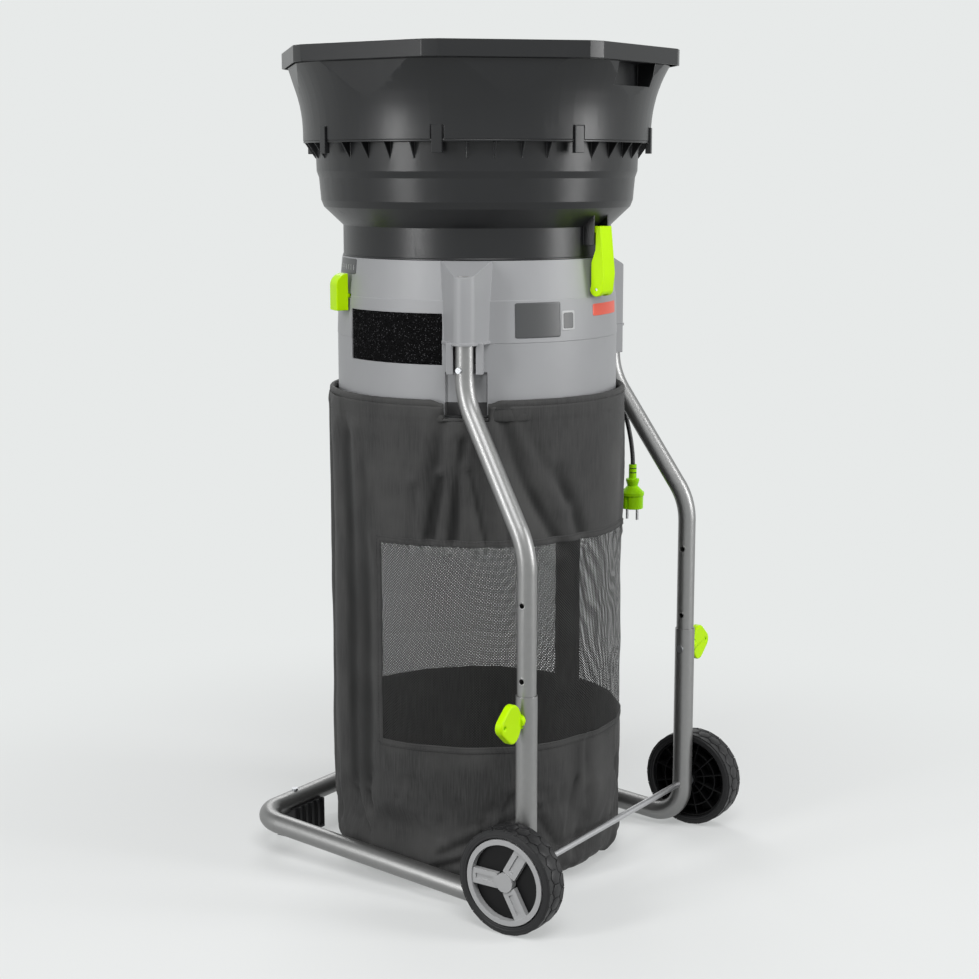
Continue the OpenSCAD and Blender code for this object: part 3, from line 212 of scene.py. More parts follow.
# %% Maker for moulded plastics and rubber
def open_finish(name):
    finish = bpy.data.materials.new(name)
    finish.use_nodes = True
    return finish, finish.node_tree, finish.node_tree.nodes["Principled BSDF"].inputs


def effect(tree, group, **values):
    placed = add(tree, "ShaderNodeGroup", node_tree=group)
    for key, value in values.items():
        placed.inputs[key].default_value = value
    return placed.outputs


def scaled(colour, factor):
    return (*[min(1.0, part * factor) for part in colour], 1.0)


DUST_COLOUR = (0.26, 0.255, 0.245, 1.0)


def moulded(name, colour, gloss_loss, grain=1500.0, bump=0.12, shade=0.08, dust=0.04, scuff=0.12, shine=0.5):
    finish, tree, skin = open_finish(name)
    skin["Specular IOR Level"].default_value = shine
    surface = effect(tree, grain_group, Grain=grain)
    toned = mixed(tree, surface["Tone"], scaled(colour, 1.0 - shade), scaled(colour, 1.0 + shade))
    settled = effect(tree, dust_group, Amount=dust)["Dust"]
    tree.links.new(mixed(tree, settled, toned, DUST_COLOUR), skin["Base Color"])
    tree.links.new(remap(tree, surface["Scuff"], 0.0, 1.0, gloss_loss, gloss_loss + scuff), skin["Roughness"])
    bumped(tree, skin, surface["Height"], bump, 0.0003)
    return finish


hopper_plastic = moulded("hopper_charcoal", (0.0090, 0.0095, 0.0105), 0.34, scuff=0.10, dust=0.02, shine=0.40)
housing_plastic = moulded("housing_grey", (0.315, 0.320, 0.330), 0.46, shade=0.04, dust=0.05)
green_plastic = moulded("lever_lime", (0.54, 0.91, 0.001), 0.36, bump=0.05, shade=0.03, dust=0.004, shine=0.10)
plug_plastic = moulded("plug_lime", (0.33, 0.72, 0.002), 0.36, bump=0.05, shade=0.05, dust=0.006, shine=0.15)
black_plastic = moulded("inner_black", (0.010, 0.010, 0.011), 0.45, shine=0.35)
core_plastic = moulded("wheel_core_black", (0.0040, 0.0040, 0.0045), 0.40, dust=0.02, shine=0.20)
trim_plastic = moulded("wheel_trim_silver", (0.43, 0.435, 0.44), 0.36, shade=0.04, dust=0.05)
tyre_rubber = moulded("tyre_rubber", (0.013, 0.013, 0.014), 0.48, grain=900.0, bump=0.2, dust=0.06,
                      scuff=0.2, shine=0.35)
cord_sheath = moulded("lead_sheath", (0.020, 0.020, 0.021), 0.40, bump=0.06)
nylon = moulded("cutting_nylon", (0.55, 0.20, 0.04), 0.35, bump=0.04)
thread_finish = moulded("sewing_thread", (0.030, 0.030, 0.031), 0.75, grain=2600.0, bump=0.3)
print("plastics done")

# %% Finish of the tubes, steel and castings
def metal(name, colour, roughness, metallic, stretch, streak=0.10, spread=0.12, stain=0.82):
    finish, tree, skin = open_finish(name)
    drawn = effect(tree, metal_group, Stretch=stretch)
    toned = mixed(tree, drawn["Streak"], scaled(colour, 1.0 - streak), scaled(colour, 1.0 + streak))
    stained = mixed(tree, drawn["Stain"], toned, scaled(colour, stain))
    tree.links.new(stained, skin["Base Color"])
    tree.links.new(remap(tree, drawn["Streak"], 0.0, 1.0, roughness, roughness + spread), skin["Roughness"])
    skin["Metallic"].default_value = metallic
    bumped(tree, skin, drawn["Streak"], 0.01, 0.0001)
    return finish


EVEN = (160.0, 160.0, 160.0)
tube_paint = metal("tube_silver", (0.265, 0.265, 0.263), 0.38, 0.88, EVEN, streak=0.02, spread=0.04, stain=0.97)
steel = metal("bright_steel", (0.48, 0.48, 0.49), 0.33, 1.0, EVEN, streak=0.03, spread=0.05, stain=0.95)
zinc = metal("zinc_plate", (0.50, 0.51, 0.53), 0.32, 1.0, (60.0, 60.0, 60.0))
motor_case = metal("motor_case", (0.20, 0.20, 0.21), 0.45, 0.7, (90.0, 90.0, 90.0))
print("metals done")

# %% [markdown]
# The bag is a coated polyester cloth with a plain weave and a soft sheen, rubbed paler in patches. Deep in
# its folds the colour is darkened as painted shade, and the mesh carries that depth as an attribute.
# Its windows are an open knitted mesh: threads cross at a slant and the holes let the light through,
# so the mask of the threads feeds Alpha. Foam is nearly black, with pores that show as pits, coloured
# darker inside as painted shade, and a few pale specks set at random.

# %% Finish of the cloth
def grey(level):
    return (level, level, level, 1.0)


bag_cloth, tree, skin = open_finish("bag_cloth")
woven = effect(tree, weave_group, Pitch=0.0013)
threads = mixed(tree, woven["Slub"], grey(0.025), grey(0.047))
rubbed = mixed(tree, woven["Rub"], threads, (0.066, 0.066, 0.065, 1.0))
# The depth attribute darkens the cloth to near black deep in its folds, which is painted shade.
fold_shade = add(tree, "ShaderNodeAttribute", attribute_name="painted_fold_shade").outputs["Fac"]
tree.links.new(mixed(tree, fold_shade, rubbed, grey(0.0075)), skin["Base Color"])
tree.links.new(remap(tree, woven["Rub"], 0.0, 1.0, 0.66, 0.82), skin["Roughness"])
skin["Specular IOR Level"].default_value = 0.25
skin["Sheen Weight"].default_value = 0.08
skin["Sheen Roughness"].default_value = 0.45
bumped(tree, skin, woven["Height"], 0.35, 0.0003)
print("finish:", bag_cloth.name)

# %% Finish of the mesh windows
bag_mesh, tree, skin = open_finish("bag_mesh")
MESH_PITCH, THREAD_SHARE, THREAD_DRIFT = 0.0030, 0.40, 0.0030
flat_place = coords(tree, "UV")
wander = add(tree, "ShaderNodeTexNoise", {"Vector": flat_place, "Scale": 13.0, "Detail": 2.0}).outputs["Color"]
drift = add(tree, "ShaderNodeVectorMath", {0: wander, "Scale": THREAD_DRIFT}, operation="SCALE").outputs[0]
pulled = add(tree, "ShaderNodeVectorMath", {0: flat_place, 1: drift}, operation="ADD").outputs[0]
slanted = add(tree, "ShaderNodeMapping", {"Vector": pulled, "Rotation": (0.0, 0.0, math.radians(45.0)),
                                          "Scale": (1.0 / MESH_PITCH, 1.0 / MESH_PITCH, 1.0)})
across = add(tree, "ShaderNodeSeparateXYZ", {"Vector": slanted.outputs[0]})
solid = [maths(tree, "LESS_THAN", maths(tree, "FRACT", across.outputs[axis]), THREAD_SHARE) for axis in "XY"]
tree.links.new(maths(tree, "MAXIMUM", *solid), skin["Alpha"])
woven = effect(tree, weave_group, Pitch=0.0008)
tree.links.new(mixed(tree, woven["Slub"], grey(0.012), (0.032, 0.032, 0.031, 1.0)), skin["Base Color"])
skin["Roughness"].default_value = 0.65
skin["Specular IOR Level"].default_value = 0.25
print("finish:", bag_mesh.name)

# %% Finish of the foam
filter_foam, tree, skin = open_finish("filter_foam")
place = coords(tree)
pores = add(tree, "ShaderNodeTexVoronoi", {"Vector": place, "Scale": 620.0})
pit = remap(tree, pores.outputs["Distance"], 0.1, 0.7)
# Pores are coloured darker than the walls between them: painted shade in the pits.
pore_shaded_colour = mixed(tree, pit, grey(0.0006), (0.005, 0.005, 0.0055, 1.0))
# A few pale specks, set at random over the foam.
SPECK_RARITY = 0.965
speck_cells = add(tree, "ShaderNodeTexVoronoi", {"Vector": place, "Scale": 950.0})
lot = add(tree, "ShaderNodeSeparateColor", {"Color": speck_cells.outputs["Color"]}).outputs[0]
speck = maths(tree, "GREATER_THAN", lot, SPECK_RARITY)
tree.links.new(mixed(tree, speck, pore_shaded_colour, (0.085, 0.085, 0.090, 1.0)), skin["Base Color"])
tree.links.new(remap(tree, pit, 0.0, 1.0, 0.95, 0.55), skin["Roughness"])
skin["Specular IOR Level"].default_value = 0.04
bumped(tree, skin, pit, 0.7, 0.0008)
print("finish:", filter_foam.name)

# %% [markdown]
# ## Putting a piece in the scene
# A finished mesh becomes an object at the origin, takes its material, rides on a body of the machine
# and hides the CAD nodes that it stands for. Later cells use this one helper for every new piece.

# %% Helper that dresses a piece
def dress(name, mesh, body, finish, slot, *stands_for):
    mesh.name = name
    mesh.materials.clear()
    mesh.materials.append(finish)
    piece = in_scene(name, mesh)
    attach(piece, body)
    if stands_for:
        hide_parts(*stands_for)
    return piece


def plain_mesh(shape, name):
    mesh = bpy.data.meshes.new(name)
    shape.to_mesh(mesh)
    shape.free()
    return mesh


def shaded(shape, limit):
    for face in shape.faces:
        face.smooth = True
    for edge in shape.edges:
        edge.smooth = len(edge.link_faces) == 2 and edge.calc_face_angle(0.0) < math.radians(limit)


def settled_mesh(shape, name, smooth=40.0):
    bmesh.ops.recalc_face_normals(shape, faces=shape.faces)
    shaded(shape, smooth)
    return plain_mesh(shape, name)


BODY_OF = {node: body for body, names in frame["record"]["behaviour"]["bodies"].items() for node in names}

# %% [markdown]
# ## The mains lead
# The lead leaves a rubber gland under the housing and hangs beside the left leg, with its plug in the
# air, just as long as it looks. It is a tube swept along one smooth curve. A Bezier curve with a round
# bevel would do too, but a swept mesh also carries a UV map in metres.

# %% Helpers that join rings of points
def turns_of(count):
    return [math.tau * k / count for k in range(count)]


def bridge(shape, rings, closed=False, flat_map=None):
    flat = shape.loops.layers.uv.verify() if flat_map else None
    rings = [[shape.verts.new(p) for p in ring] for ring in rings]
    count = len(rings[0])
    for i in range(len(rings) if closed else len(rings) - 1):
        here, there = rings[i], rings[(i + 1) % len(rings)]
        for k in range(count):
            n = (k + 1) % count
            face = shape.faces.new((here[k], here[n], there[n], there[k]))
            if flat_map:
                for loop, spot in zip(face.loops, ((k, i), (k + 1, i), (k + 1, i + 1), (k, i + 1))):
                    loop[flat].uv = flat_map(*spot)
    if not closed:
        shape.faces.new(rings[0])
        shape.faces.new(rings[-1])


# %% Sweep the lead along its route
def smooth_path(points, per_span):
    points = [Vector(p) for p in points]
    ends = [2 * points[0] - points[1]] + points + [2 * points[-1] - points[-2]]
    path = []
    for a, b, c, d in zip(ends, ends[1:], ends[2:], ends[3:]):
        for step in range(per_span):
            t = step / per_span
            path.append(0.5 * (2 * b + (c - a) * t + (2 * a - 5 * b + 4 * c - d) * t ** 2
                               + (3 * b - a - 3 * c + d) * t ** 3))
    return path + [points[-1]]


def tube(name, path, radius, sides=20):
    side = Vector((1, 0, 0))
    rings = []
    for i, at in enumerate(path):
        way = (path[min(i + 1, len(path) - 1)] - path[max(i - 1, 0)]).normalized()
        side = (side - way * side.dot(way)).normalized()
        other = way.cross(side)
        rings.append([at + radius * (math.cos(turn) * side + math.sin(turn) * other) for turn in turns_of(sides)])
    run = [0.0, *np.cumsum([(b - a).length for a, b in zip(path, path[1:])])]
    shape = bmesh.new()
    bridge(shape, rings, flat_map=lambda k, i: (radius * math.tau * k / sides, run[i]))
    return settled_mesh(shape, name)


MM = 0.001
DRUM_Y = -0.020
LEAD_ROUTE_MM = [
    (-229, 96.5, 792.8), (-229, 104.5, 778), (-229.5, 110.5, 765), (-230, 116.5, 752), (-231, 122, 739),
    (-232, 127, 726), (-233, 131, 713), (-234, 135, 700), (-235, 138.5, 687), (-236, 141.5, 674),
    (-237, 144, 661), (-238, 146, 648), (-238.5, 147.5, 636), (-239, 148.5, 624), (-239, 149, 612),
    (-239, 149, 606)]
lead_route = [Vector((x, y, z)) * MM + Vector((0, DRUM_Y, 0)) for x, y, z in LEAD_ROUTE_MM]
lead_path = smooth_path(lead_route, 5)
LEAD_ACROSS = 0.0074
lead = dress("mains_lead", tube("mains_lead", lead_path, LEAD_ACROSS / 2), "machine", cord_sheath,
             "cord_sheath", "power_cord")

# %% [markdown]
# ## Soft edges on the moulded parts
# CAD edges are razor sharp, and nothing real is. Each rigid part is copied, its loose triangles are
# merged, flat areas become single faces, and every sharp edge gets a small bevel that catches light.
# A Bevel modifier would do the same, but the bmesh tool lets the script test the result against the
# CAD surface, and keep the plain copy where a bevel would stray. The tubes only need it at the open end.

# %% Helper that softens a CAD part
CREASE, FLAT_ENOUGH, SHADE_BREAK = math.radians(20.0), math.radians(0.6), 14.0
MERGE, TUBE_MERGE, NO_LENGTH, OPEN_END = 2e-6, 2e-4, 1e-6, 1e-4
MOST_STRAY = 1.6


def merged_copy(node):
    shape = bmesh.new()
    shape.from_mesh(nodes[node].data)
    reach = TUBE_MERGE if node.endswith("_tube") else MERGE
    bmesh.ops.remove_doubles(shape, verts=shape.verts, dist=reach)
    bmesh.ops.dissolve_degenerate(shape, edges=shape.edges, dist=NO_LENGTH)
    bmesh.ops.dissolve_limit(shape, angle_limit=FLAT_ENOUGH, verts=shape.verts, edges=shape.edges)
    return shape


def softened(node, width, finish, slot):
    shape = merged_copy(node)
    guide = BVHTree.FromBMesh(shape)
    sharp = [e for e in shape.edges if len(e.link_faces) == 2 and e.calc_face_angle(0.0) > CREASE]
    if node.endswith("_tube"):
        top = max(v.co.z for v in shape.verts) - OPEN_END
        sharp = [e for e in sharp if min(v.co.z for v in e.verts) > top]
    bmesh.ops.bevel(shape, geom=sharp, offset=width, offset_type="OFFSET", segments=2, profile=0.5,
                    affect="EDGES", clamp_overlap=False, miter_outer="ARC", loop_slide=True)
    stray = max(guide.find_nearest(v.co)[3] for v in shape.verts)
    if stray > MOST_STRAY * width:
        print("   ", node, "keeps plain edges, stray", round(stray / MM, 2), "mm")
        shape.free()
        shape = merged_copy(node)
    shaded(shape, SHADE_BREAK)
    mesh = plain_mesh(shape, node)
    if "custom_normal" in mesh.attributes:
        mesh.attributes.remove(mesh.attributes["custom_normal"])
    piece = dress(node + "_soft", mesh, BODY_OF[node], finish, slot, node)
    weighted = piece.modifiers.new("even_shading", "WEIGHTED_NORMAL")
    weighted.keep_sharp = True
    return piece


# %% Soften the shells, handles, feet and frame
SOFT_PARTS = [  # finish, slot, and each part with the width of its soft edge in millimetres
    (hopper_plastic, "hopper_plastic", {"hopper_upper": 0.8, "hopper_lower": 0.7}),
    (housing_plastic, "housing_plastic", {"housing_upper": 0.6, "housing_lower": 0.6}),
    (green_plastic, "green_plastic", {"selector_lever": 1.0, "latch_rear": 0.9, "latch_front": 0.9,
                                      "right_knob": 2.2, "left_knob": 2.2}),
    (black_plastic, "black_plastic", {"right_foot": 1.0, "left_foot": 1.0}),
    (core_plastic, "black_plastic", {"right_wheel_core": 0.4, "left_wheel_core": 0.4}),
    (trim_plastic, "trim_plastic", {"right_wheel_trim": 0.25, "left_wheel_trim": 0.25}),
    (tube_paint, "tube_paint", {"right_upper_tube": 0.4, "left_upper_tube": 0.4, "right_base_tube": 0.4,
                                "left_base_tube": 0.4, "crossbar": 0.4}),
    (plug_plastic, "plug_plastic", {"plug": 0.6}),
    (black_plastic, "black_plastic", {"cord_gland": 0.5}),
]
for finish, slot, widths in SOFT_PARTS:
    for node, width_mm in widths.items():
        softened(node, width_mm * MM, finish, slot)

# %% [markdown]
# ## Small marks of the press and the mould
# Punching leaves a thin lip round each adjusting hole of the legs, low enough to slide into the lower
# tube, and the plug's strain relief has cross slits that let it flex. Both are too small for the CAD
# model. A lip is a ring of points laid on the tube's round wall, and a slit is a short arc round the
# relief in a darker green, which is painted shade.

# %% Lips of the adjusting holes
LEG_X, LEG_Y, LEG_R = 0.240, 0.232, 0.0142
HOLES_Z = [0.370, 0.482]
LIP_MM = [(4.0, -0.6), (4.25, -0.14), (4.9, 0.12), (5.6, 0.14), (6.3, 0.04), (6.5, -0.4)]  # reach, lift
SIDES = ((1, "right"), (-1, "left"))


def lip_ring(leg_x, out, z, reach, lift):
    ring = []
    for turn in turns_of(32):
        away = reach * math.cos(turn)
        deep = math.sqrt((LEG_R + lift) ** 2 - away ** 2)
        ring.append((leg_x + out * deep, LEG_Y + away, z + reach * math.sin(turn)))
    return ring


for sign, name in SIDES:
    shape = bmesh.new()
    for z in HOLES_Z:
        for out in (1, -1):
            bridge(shape, [lip_ring(sign * LEG_X, out, z, reach * MM, lift * MM) for reach, lift in LIP_MM], True)
    dress(name + "_hole_lips", settled_mesh(shape, name + "_hole_lips", 70.0), "machine", tube_paint, "tube_paint")
print("hole lips:", 4 * len(HOLES_Z))

# %% Slits of the plug's strain relief
PLUG_X, PLUG_Y = -0.239, 0.129
SLITS_Z, SLIT_MIDDLES, SLIT_SPREAD = (0.6055, 0.5985), (45.0, 225.0), 55.0
SLIT_MM = [(6.2, -0.8), (6.65, -0.8), (6.65, 0.8), (6.2, 0.8)]  # radius, height
# The slits are a darker copy of the plug's green: painted shade inside the cuts.
slit_shade = moulded("slit_shade_green", (0.020, 0.060, 0.002), 0.6, bump=0.04)
slit_shape = bmesh.new()
for z in SLITS_Z:
    for middle in SLIT_MIDDLES:
        rings = []
        for turn in np.radians(np.linspace(middle - SLIT_SPREAD, middle + SLIT_SPREAD, 15)):
            way = Vector((math.cos(turn), math.sin(turn), 0.0))
            rings.append([Vector((PLUG_X, PLUG_Y, z + dz * MM)) + way * r * MM for r, dz in SLIT_MM])
        bridge(slit_shape, rings)
slits = dress("plug_slits", settled_mesh(slit_shape, "plug_slits"), "machine", slit_shade, "plug_plastic")
print("plug slits:", len(SLITS_Z) * len(SLIT_MIDDLES))

# %% The lead and its plug are in place
print("lead and plug in place")

# %% [markdown]
# ## Parts that keep their CAD shape
# Screws, pins, the motor and the cutter sit inside or are small and plain, so the CAD mesh is right as
# it is. Only their material slots change.

# %% Paint the inner and small parts
PAINTED = {
    steel: ["motor_shaft", "latch_pins", "axle", "plug_pins", "bearing_upper", "bearing_lower"],
    zinc: ["leg_screws", "foot_screws", "pod_screws", "arm_screws", "leg_bolts", "head_nut", "wheel_washers"],
    black_plastic: ["selector_ring", "motor_pod", "pod_cover", "line_head", "axle_caps", "bag_ring"],
    motor_case: ["motor_can"],
    tube_paint: ["crossbar_sleeves"],
    nylon: ["cutting_lines"],
}
for finish, names in PAINTED.items():
    for node in names:
        nodes[node].data.materials.clear()
        nodes[node].data.materials.append(finish)
print("painted", sum(len(names) for names in PAINTED.values()), "parts")

# %% [markdown]
# ## The leaf bag
# The bag is one cloth tube, sewn to a hem that hooks under the housing, and it hangs to just above the
# ground. Its own weight draws soft upright waves into it, the notches for the legs pull slanting folds,
# and its slack foot crumples between the rails. It is lofted as a grid round the drum. Each point is
# moved along the wall's own direction by waves, by folds drawn as lines on the unrolled cloth, and by
# noise that grows towards the foot. Cloth simulation was the other way, but it can't hold folds to places.

# %% Folds drawn on the unrolled cloth
BAG_R, BAG_TOP, BAG_FOOT, FOOT_ROUND = 0.233, 0.731, 0.005, 0.034
CLOTH_TOP = 0.7525
NOTCH_RIGHT, NOTCH_LEFT, NOTCH_HALF = 30.3, 149.7, math.degrees(0.0335 / 0.229)
HEM_ARCS = [(NOTCH_RIGHT + NOTCH_HALF, NOTCH_LEFT - NOTCH_HALF),
            (NOTCH_LEFT + NOTCH_HALF, NOTCH_RIGHT + 360.0 - NOTCH_HALF)]
WINDOW_TOP, WINDOW_SILL = 0.544, 0.230
WINDOWS_DEG = [(-4.5, 166.5), (178.5, 300.0)]
FOLDS = [  # corner points as (degrees, millimetres up), then depth and width in millimetres
    ([(43.5, 742), (47.8, 690), (53.0, 632), (66.8, 541)], 6.4, 14.0),
    ([(51.5, 728), (60.0, 664), (70.5, 610)], 2.8, 11.0),
    ([(22.1, 732), (17.1, 643), (15.9, 560)], 4.6, 10.0),
    ([(20.9, 643), (15.8, 546)], 5.0, 7.0),
    ([(29.1, 700), (25.3, 546)], 7.0, 9.0),
    ([(32.0, 655), (37.8, 546)], 6.0, 8.0),
    ([(11.0, 628), (9.5, 546)], 4.0, 7.0),
    ([(44.5, 610), (46.5, 546)], 4.0, 7.0),
    ([(-27.0, 690), (-25.0, 531), (-24.0, 90)], 9.0, 27.0),
    ([(-14.0, 690), (-13.0, 470), (-13.0, 120)], 4.0, 16.0),
    ([(-7.0, 690), (-8.0, 560)], 2.4, 12.0),
    ([(66.6, 653), (79.3, 548)], 4.0, 13.0),
    ([(83.0, 228), (83.6, 60)], 2.6, 6.0),
    ([(108.0, 228), (108.6, 60)], 2.6, 6.0),
    ([(56.0, 128), (38.0, 92), (20.0, 58)], 6.0, 8.0),
    ([(52.0, 96), (34.0, 56), (16.0, 34)], 6.0, 7.0),
    ([(58.0, 112), (66.0, 66)], 5.0, 7.0),
    ([(47.0, 150), (42.0, 104)], 4.5, 8.0),
    ([(136.5, 742), (131.0, 668), (118.0, 548)], 8.0, 12.0),
    ([(158.0, 732), (163.0, 640)], 4.6, 10.0),
    ([(205.0, 720), (208.0, 560)], 4.6, 12.0),
    ([(252.0, 724), (247.0, 552)], 5.0, 12.0),
    ([(312.0, 720), (315.0, 120)], 5.0, 12.0),
]
SMALL_FOLDS = 34
draw = random.Random(11)
for _ in range(SMALL_FOLDS):
    angle, low, lean = draw.uniform(0, 360), draw.uniform(20, 80), draw.uniform(-9, 9)
    high = low + draw.uniform(35, 120)
    FOLDS.append(([(angle, low), (angle + lean, high)], draw.uniform(1.5, 3.8), draw.uniform(5.0, 9.0)))
print("folds:", len(FOLDS))


def smoothstep(value):
    value = np.clip(value, 0.0, 1.0)
    return value * value * (3.0 - 2.0 * value)


RIDGE_BESIDE, RIDGE_SHARE = 1.7, 0.55


def fold_relief(angle, height, corners, depth, width):
    nearest = np.full(angle.shape, 1e6)
    signed = np.zeros(angle.shape)
    round_mm = math.radians(1.0) * BAG_R / MM
    for (a0, h0), (a1, h1) in zip(corners, corners[1:]):
        away = ((angle - a0 + 180.0) % 360.0 - 180.0) * round_mm
        up = height - h0
        run, rise = (a1 - a0) * round_mm, h1 - h0
        share = np.clip((away * run + up * rise) / (run * run + rise * rise), 0.0, 1.0)
        distance = np.hypot(away - share * run, up - share * rise)
        side = np.where(away * rise - up * run > 0.0, 1.0, -1.0)
        signed = np.where(distance < nearest, distance * side, signed)
        nearest = np.minimum(distance, nearest)
    ridge = np.exp(-((signed - RIDGE_BESIDE * width) / width) ** 2)
    return depth * (RIDGE_SHARE * ridge - np.exp(-(signed / width) ** 2))


# %% Relief of the whole cloth, in metres along the wall's own direction
HANG_MM, SLACK_MM, SLACK_FADE_MM = 110.0, 210.0, 150.0
WAVES = [(1.5, 7, 0.6, 0.003), (1.1, 12, 2.1, -0.002), (0.7, 19, 4.0, 0.0)]  # height, count, start, drift
SINK_MM, DEEPEST_MM, PROUDEST_MM = 1.4, -14.0, 2.6
COARSE, MEDIUM, CREASES = 16.0, np.array([34.0, 34.0, 20.0]), 24.0  # how fine each noise is
HUNG_COARSE, HUNG_MEDIUM = 1.6, 0.8
SLACK_COARSE, SLACK_MEDIUM, SLACK_CREASED = 3.2, 2.4, 3.4


def noise_field(where, scale, shift=(0.0, 0.0, 0.0)):
    spots = (where * scale + np.array(shift)).reshape(-1, 3)
    return np.array([noise.noise(Vector(p)) for p in spots]).reshape(where.shape[:-1])


def bag_relief(angle, height, radius):
    turn, up = np.radians(angle), height / MM
    where = np.stack([radius * np.cos(turn), radius * np.sin(turn), height], axis=-1)
    coarse = noise_field(where, COARSE)
    medium = noise_field(where, MEDIUM, (0.0, 0.0, 7.0))
    creased = 1.0 - np.abs(noise_field(where, CREASES, (3.0, 1.0, 9.0)))
    hung = smoothstep((BAG_TOP / MM - up) / HANG_MM)
    slack = smoothstep((SLACK_MM - up) / SLACK_FADE_MM)
    waves = sum(tall * np.sin(count * turn + start + drift * up) for tall, count, start, drift in WAVES)
    relief = hung * (waves + HUNG_COARSE * coarse + HUNG_MEDIUM * medium - SINK_MM)
    relief += slack * (SLACK_COARSE * coarse + SLACK_MEDIUM * medium - SLACK_CREASED * creased ** 3)
    for corners, depth, width in FOLDS:
        relief += fold_relief(angle, up, corners, depth, width)
    return np.clip(relief, DEEPEST_MM, PROUDEST_MM) * MM


# %% Rows of the bag from the hem, down the wall, round the foot and in to the middle
HEM_ROWS, TOP_ROWS, WINDOW_ROWS, LOW_ROWS, TURN_ROWS, FOOT_ROWS = 7, 36, 58, 40, 11, 15
HEM_PROUD, FOOT_HOLE = 0.0006, 0.010


def bag_rows():  # radius, height and the wall's own direction
    rows = [(BAG_R + HEM_PROUD, z, 1.0, 0.0) for z in np.linspace(CLOTH_TOP, BAG_TOP, HEM_ROWS)[:-1]]
    rows += [(BAG_R, z, 1.0, 0.0) for z in np.concatenate([
        np.linspace(BAG_TOP, WINDOW_TOP, TOP_ROWS)[:-1], np.linspace(WINDOW_TOP, WINDOW_SILL, WINDOW_ROWS)[:-1],
        np.linspace(WINDOW_SILL, BAG_FOOT + FOOT_ROUND, LOW_ROWS)])]
    for a in np.linspace(0.0, math.pi / 2, TURN_ROWS)[1:]:
        rows.append((BAG_R - FOOT_ROUND * (1 - math.cos(a)), BAG_FOOT + FOOT_ROUND * (1 - math.sin(a)),
                     math.cos(a), -math.sin(a)))
    rows += [(r, BAG_FOOT, 0.0, -1.0) for r in np.linspace(BAG_R - FOOT_ROUND, FOOT_HOLE, FOOT_ROWS)[1:]]
    return np.array(rows)


rows = bag_rows()
print("rows of the bag:", len(rows))

# %% Points of the cloth, held clear of the rails
RAIL_GAP, RAIL_TOP, RAIL_EASE, RAIL_CROWN = 0.2215, 0.089, 0.060, 0.002
FOOT_RELIEF = (-0.008, 0.002)


def bag_points(angle, rows, lift=0.0):
    radius, height, out_r, out_z = [np.broadcast_to(rows[:, k, None], (len(rows), len(angle))) for k in range(4)]
    relief = bag_relief(np.broadcast_to(angle[None, :], radius.shape), height, radius)
    relief = np.where(out_z < -0.5, np.clip(relief, *FOOT_RELIEF), relief) + lift
    r, z = radius + relief * out_r, height + relief * out_z
    turn = np.radians(angle)[None, :]
    x, y = r * np.cos(turn), r * np.sin(turn)
    limit = RAIL_GAP + (LEG_X - RAIL_GAP) * smoothstep((z - RAIL_TOP) / RAIL_EASE)
    x = np.sign(x) * np.minimum(np.abs(x), limit - RAIL_CROWN * (1 - np.abs(np.sin(turn))))
    return np.stack([x, y + DRUM_Y, z], axis=-1)


# %% Grid mesh with a flat map in metres
NEARLY_ROUND = 357.0


def grid_mesh(name, points, angle, run, keep, pole=None, slant=0.0):
    shape = bmesh.new()
    flat = shape.loops.layers.uv.new("flat")
    rows, cols = points.shape[:2]
    closed = abs(angle[-1] - angle[0]) > NEARLY_ROUND
    grid = [[shape.verts.new(points[i, j]) for j in range(cols)] for i in range(rows)]
    step, c, s = angle[1] - angle[0], math.cos(slant), math.sin(slant)
    for i in range(rows - 1):
        for j in range(cols if closed else cols - 1):
            if not keep(i, angle[j] + step / 2):
                continue
            k = (j + 1) % cols
            face = shape.faces.new((grid[i + 1][j], grid[i + 1][k], grid[i][k], grid[i][j]))
            for loop, (col, row) in zip(face.loops, ((j, i + 1), (j + 1, i + 1), (j + 1, i), (j, i))):
                u, v = math.radians(angle[0] + col * step) * BAG_R, run[row]
                loop[flat].uv = (u * c - v * s, u * s + v * c)
    if pole is not None:
        centre = shape.verts.new(pole)
        for j in range(cols):
            shape.faces.new((centre, grid[-1][(j + 1) % cols], grid[-1][j]))
    bmesh.ops.delete(shape, geom=[v for v in shape.verts if not v.link_faces], context="VERTS")
    for face in shape.faces:
        face.smooth = True
    return plain_mesh(shape, name)


def mesh_area(mesh):
    return sum(face.area for face in mesh.polygons)


def in_notch(row_height, at):
    return row_height > BAG_TOP and not any((at - low) % 360.0 < high - low for low, high in HEM_ARCS)


def in_window(row_height, at):
    inside = any((at - low) % 360.0 < high - low for low, high in WINDOWS_DEG)
    return inside and WINDOW_SILL < row_height < WINDOW_TOP


# %% Loft the cloth and give it a thickness
COLUMN, POLE_LIFT, CLOTH_THICK = 1.5, 0.002, 0.0008
FIRST = WINDOWS_DEG[0][0]
all_round = np.arange(FIRST, FIRST + 360.0, COLUMN)
run = np.concatenate([[0.0], np.cumsum(np.hypot(np.diff(rows[:, 0]), np.diff(rows[:, 1])))])
mid_height = (rows[:-1, 1] + rows[1:, 1]) / 2
wall = bag_points(all_round, rows)
cloth_mesh = grid_mesh("leaf_bag_cloth", wall, all_round, run,
                       lambda row, at: not (in_window(mid_height[row], at) or in_notch(mid_height[row], at)),
                       pole=(0.0, DRUM_Y, BAG_FOOT + POLE_LIFT))
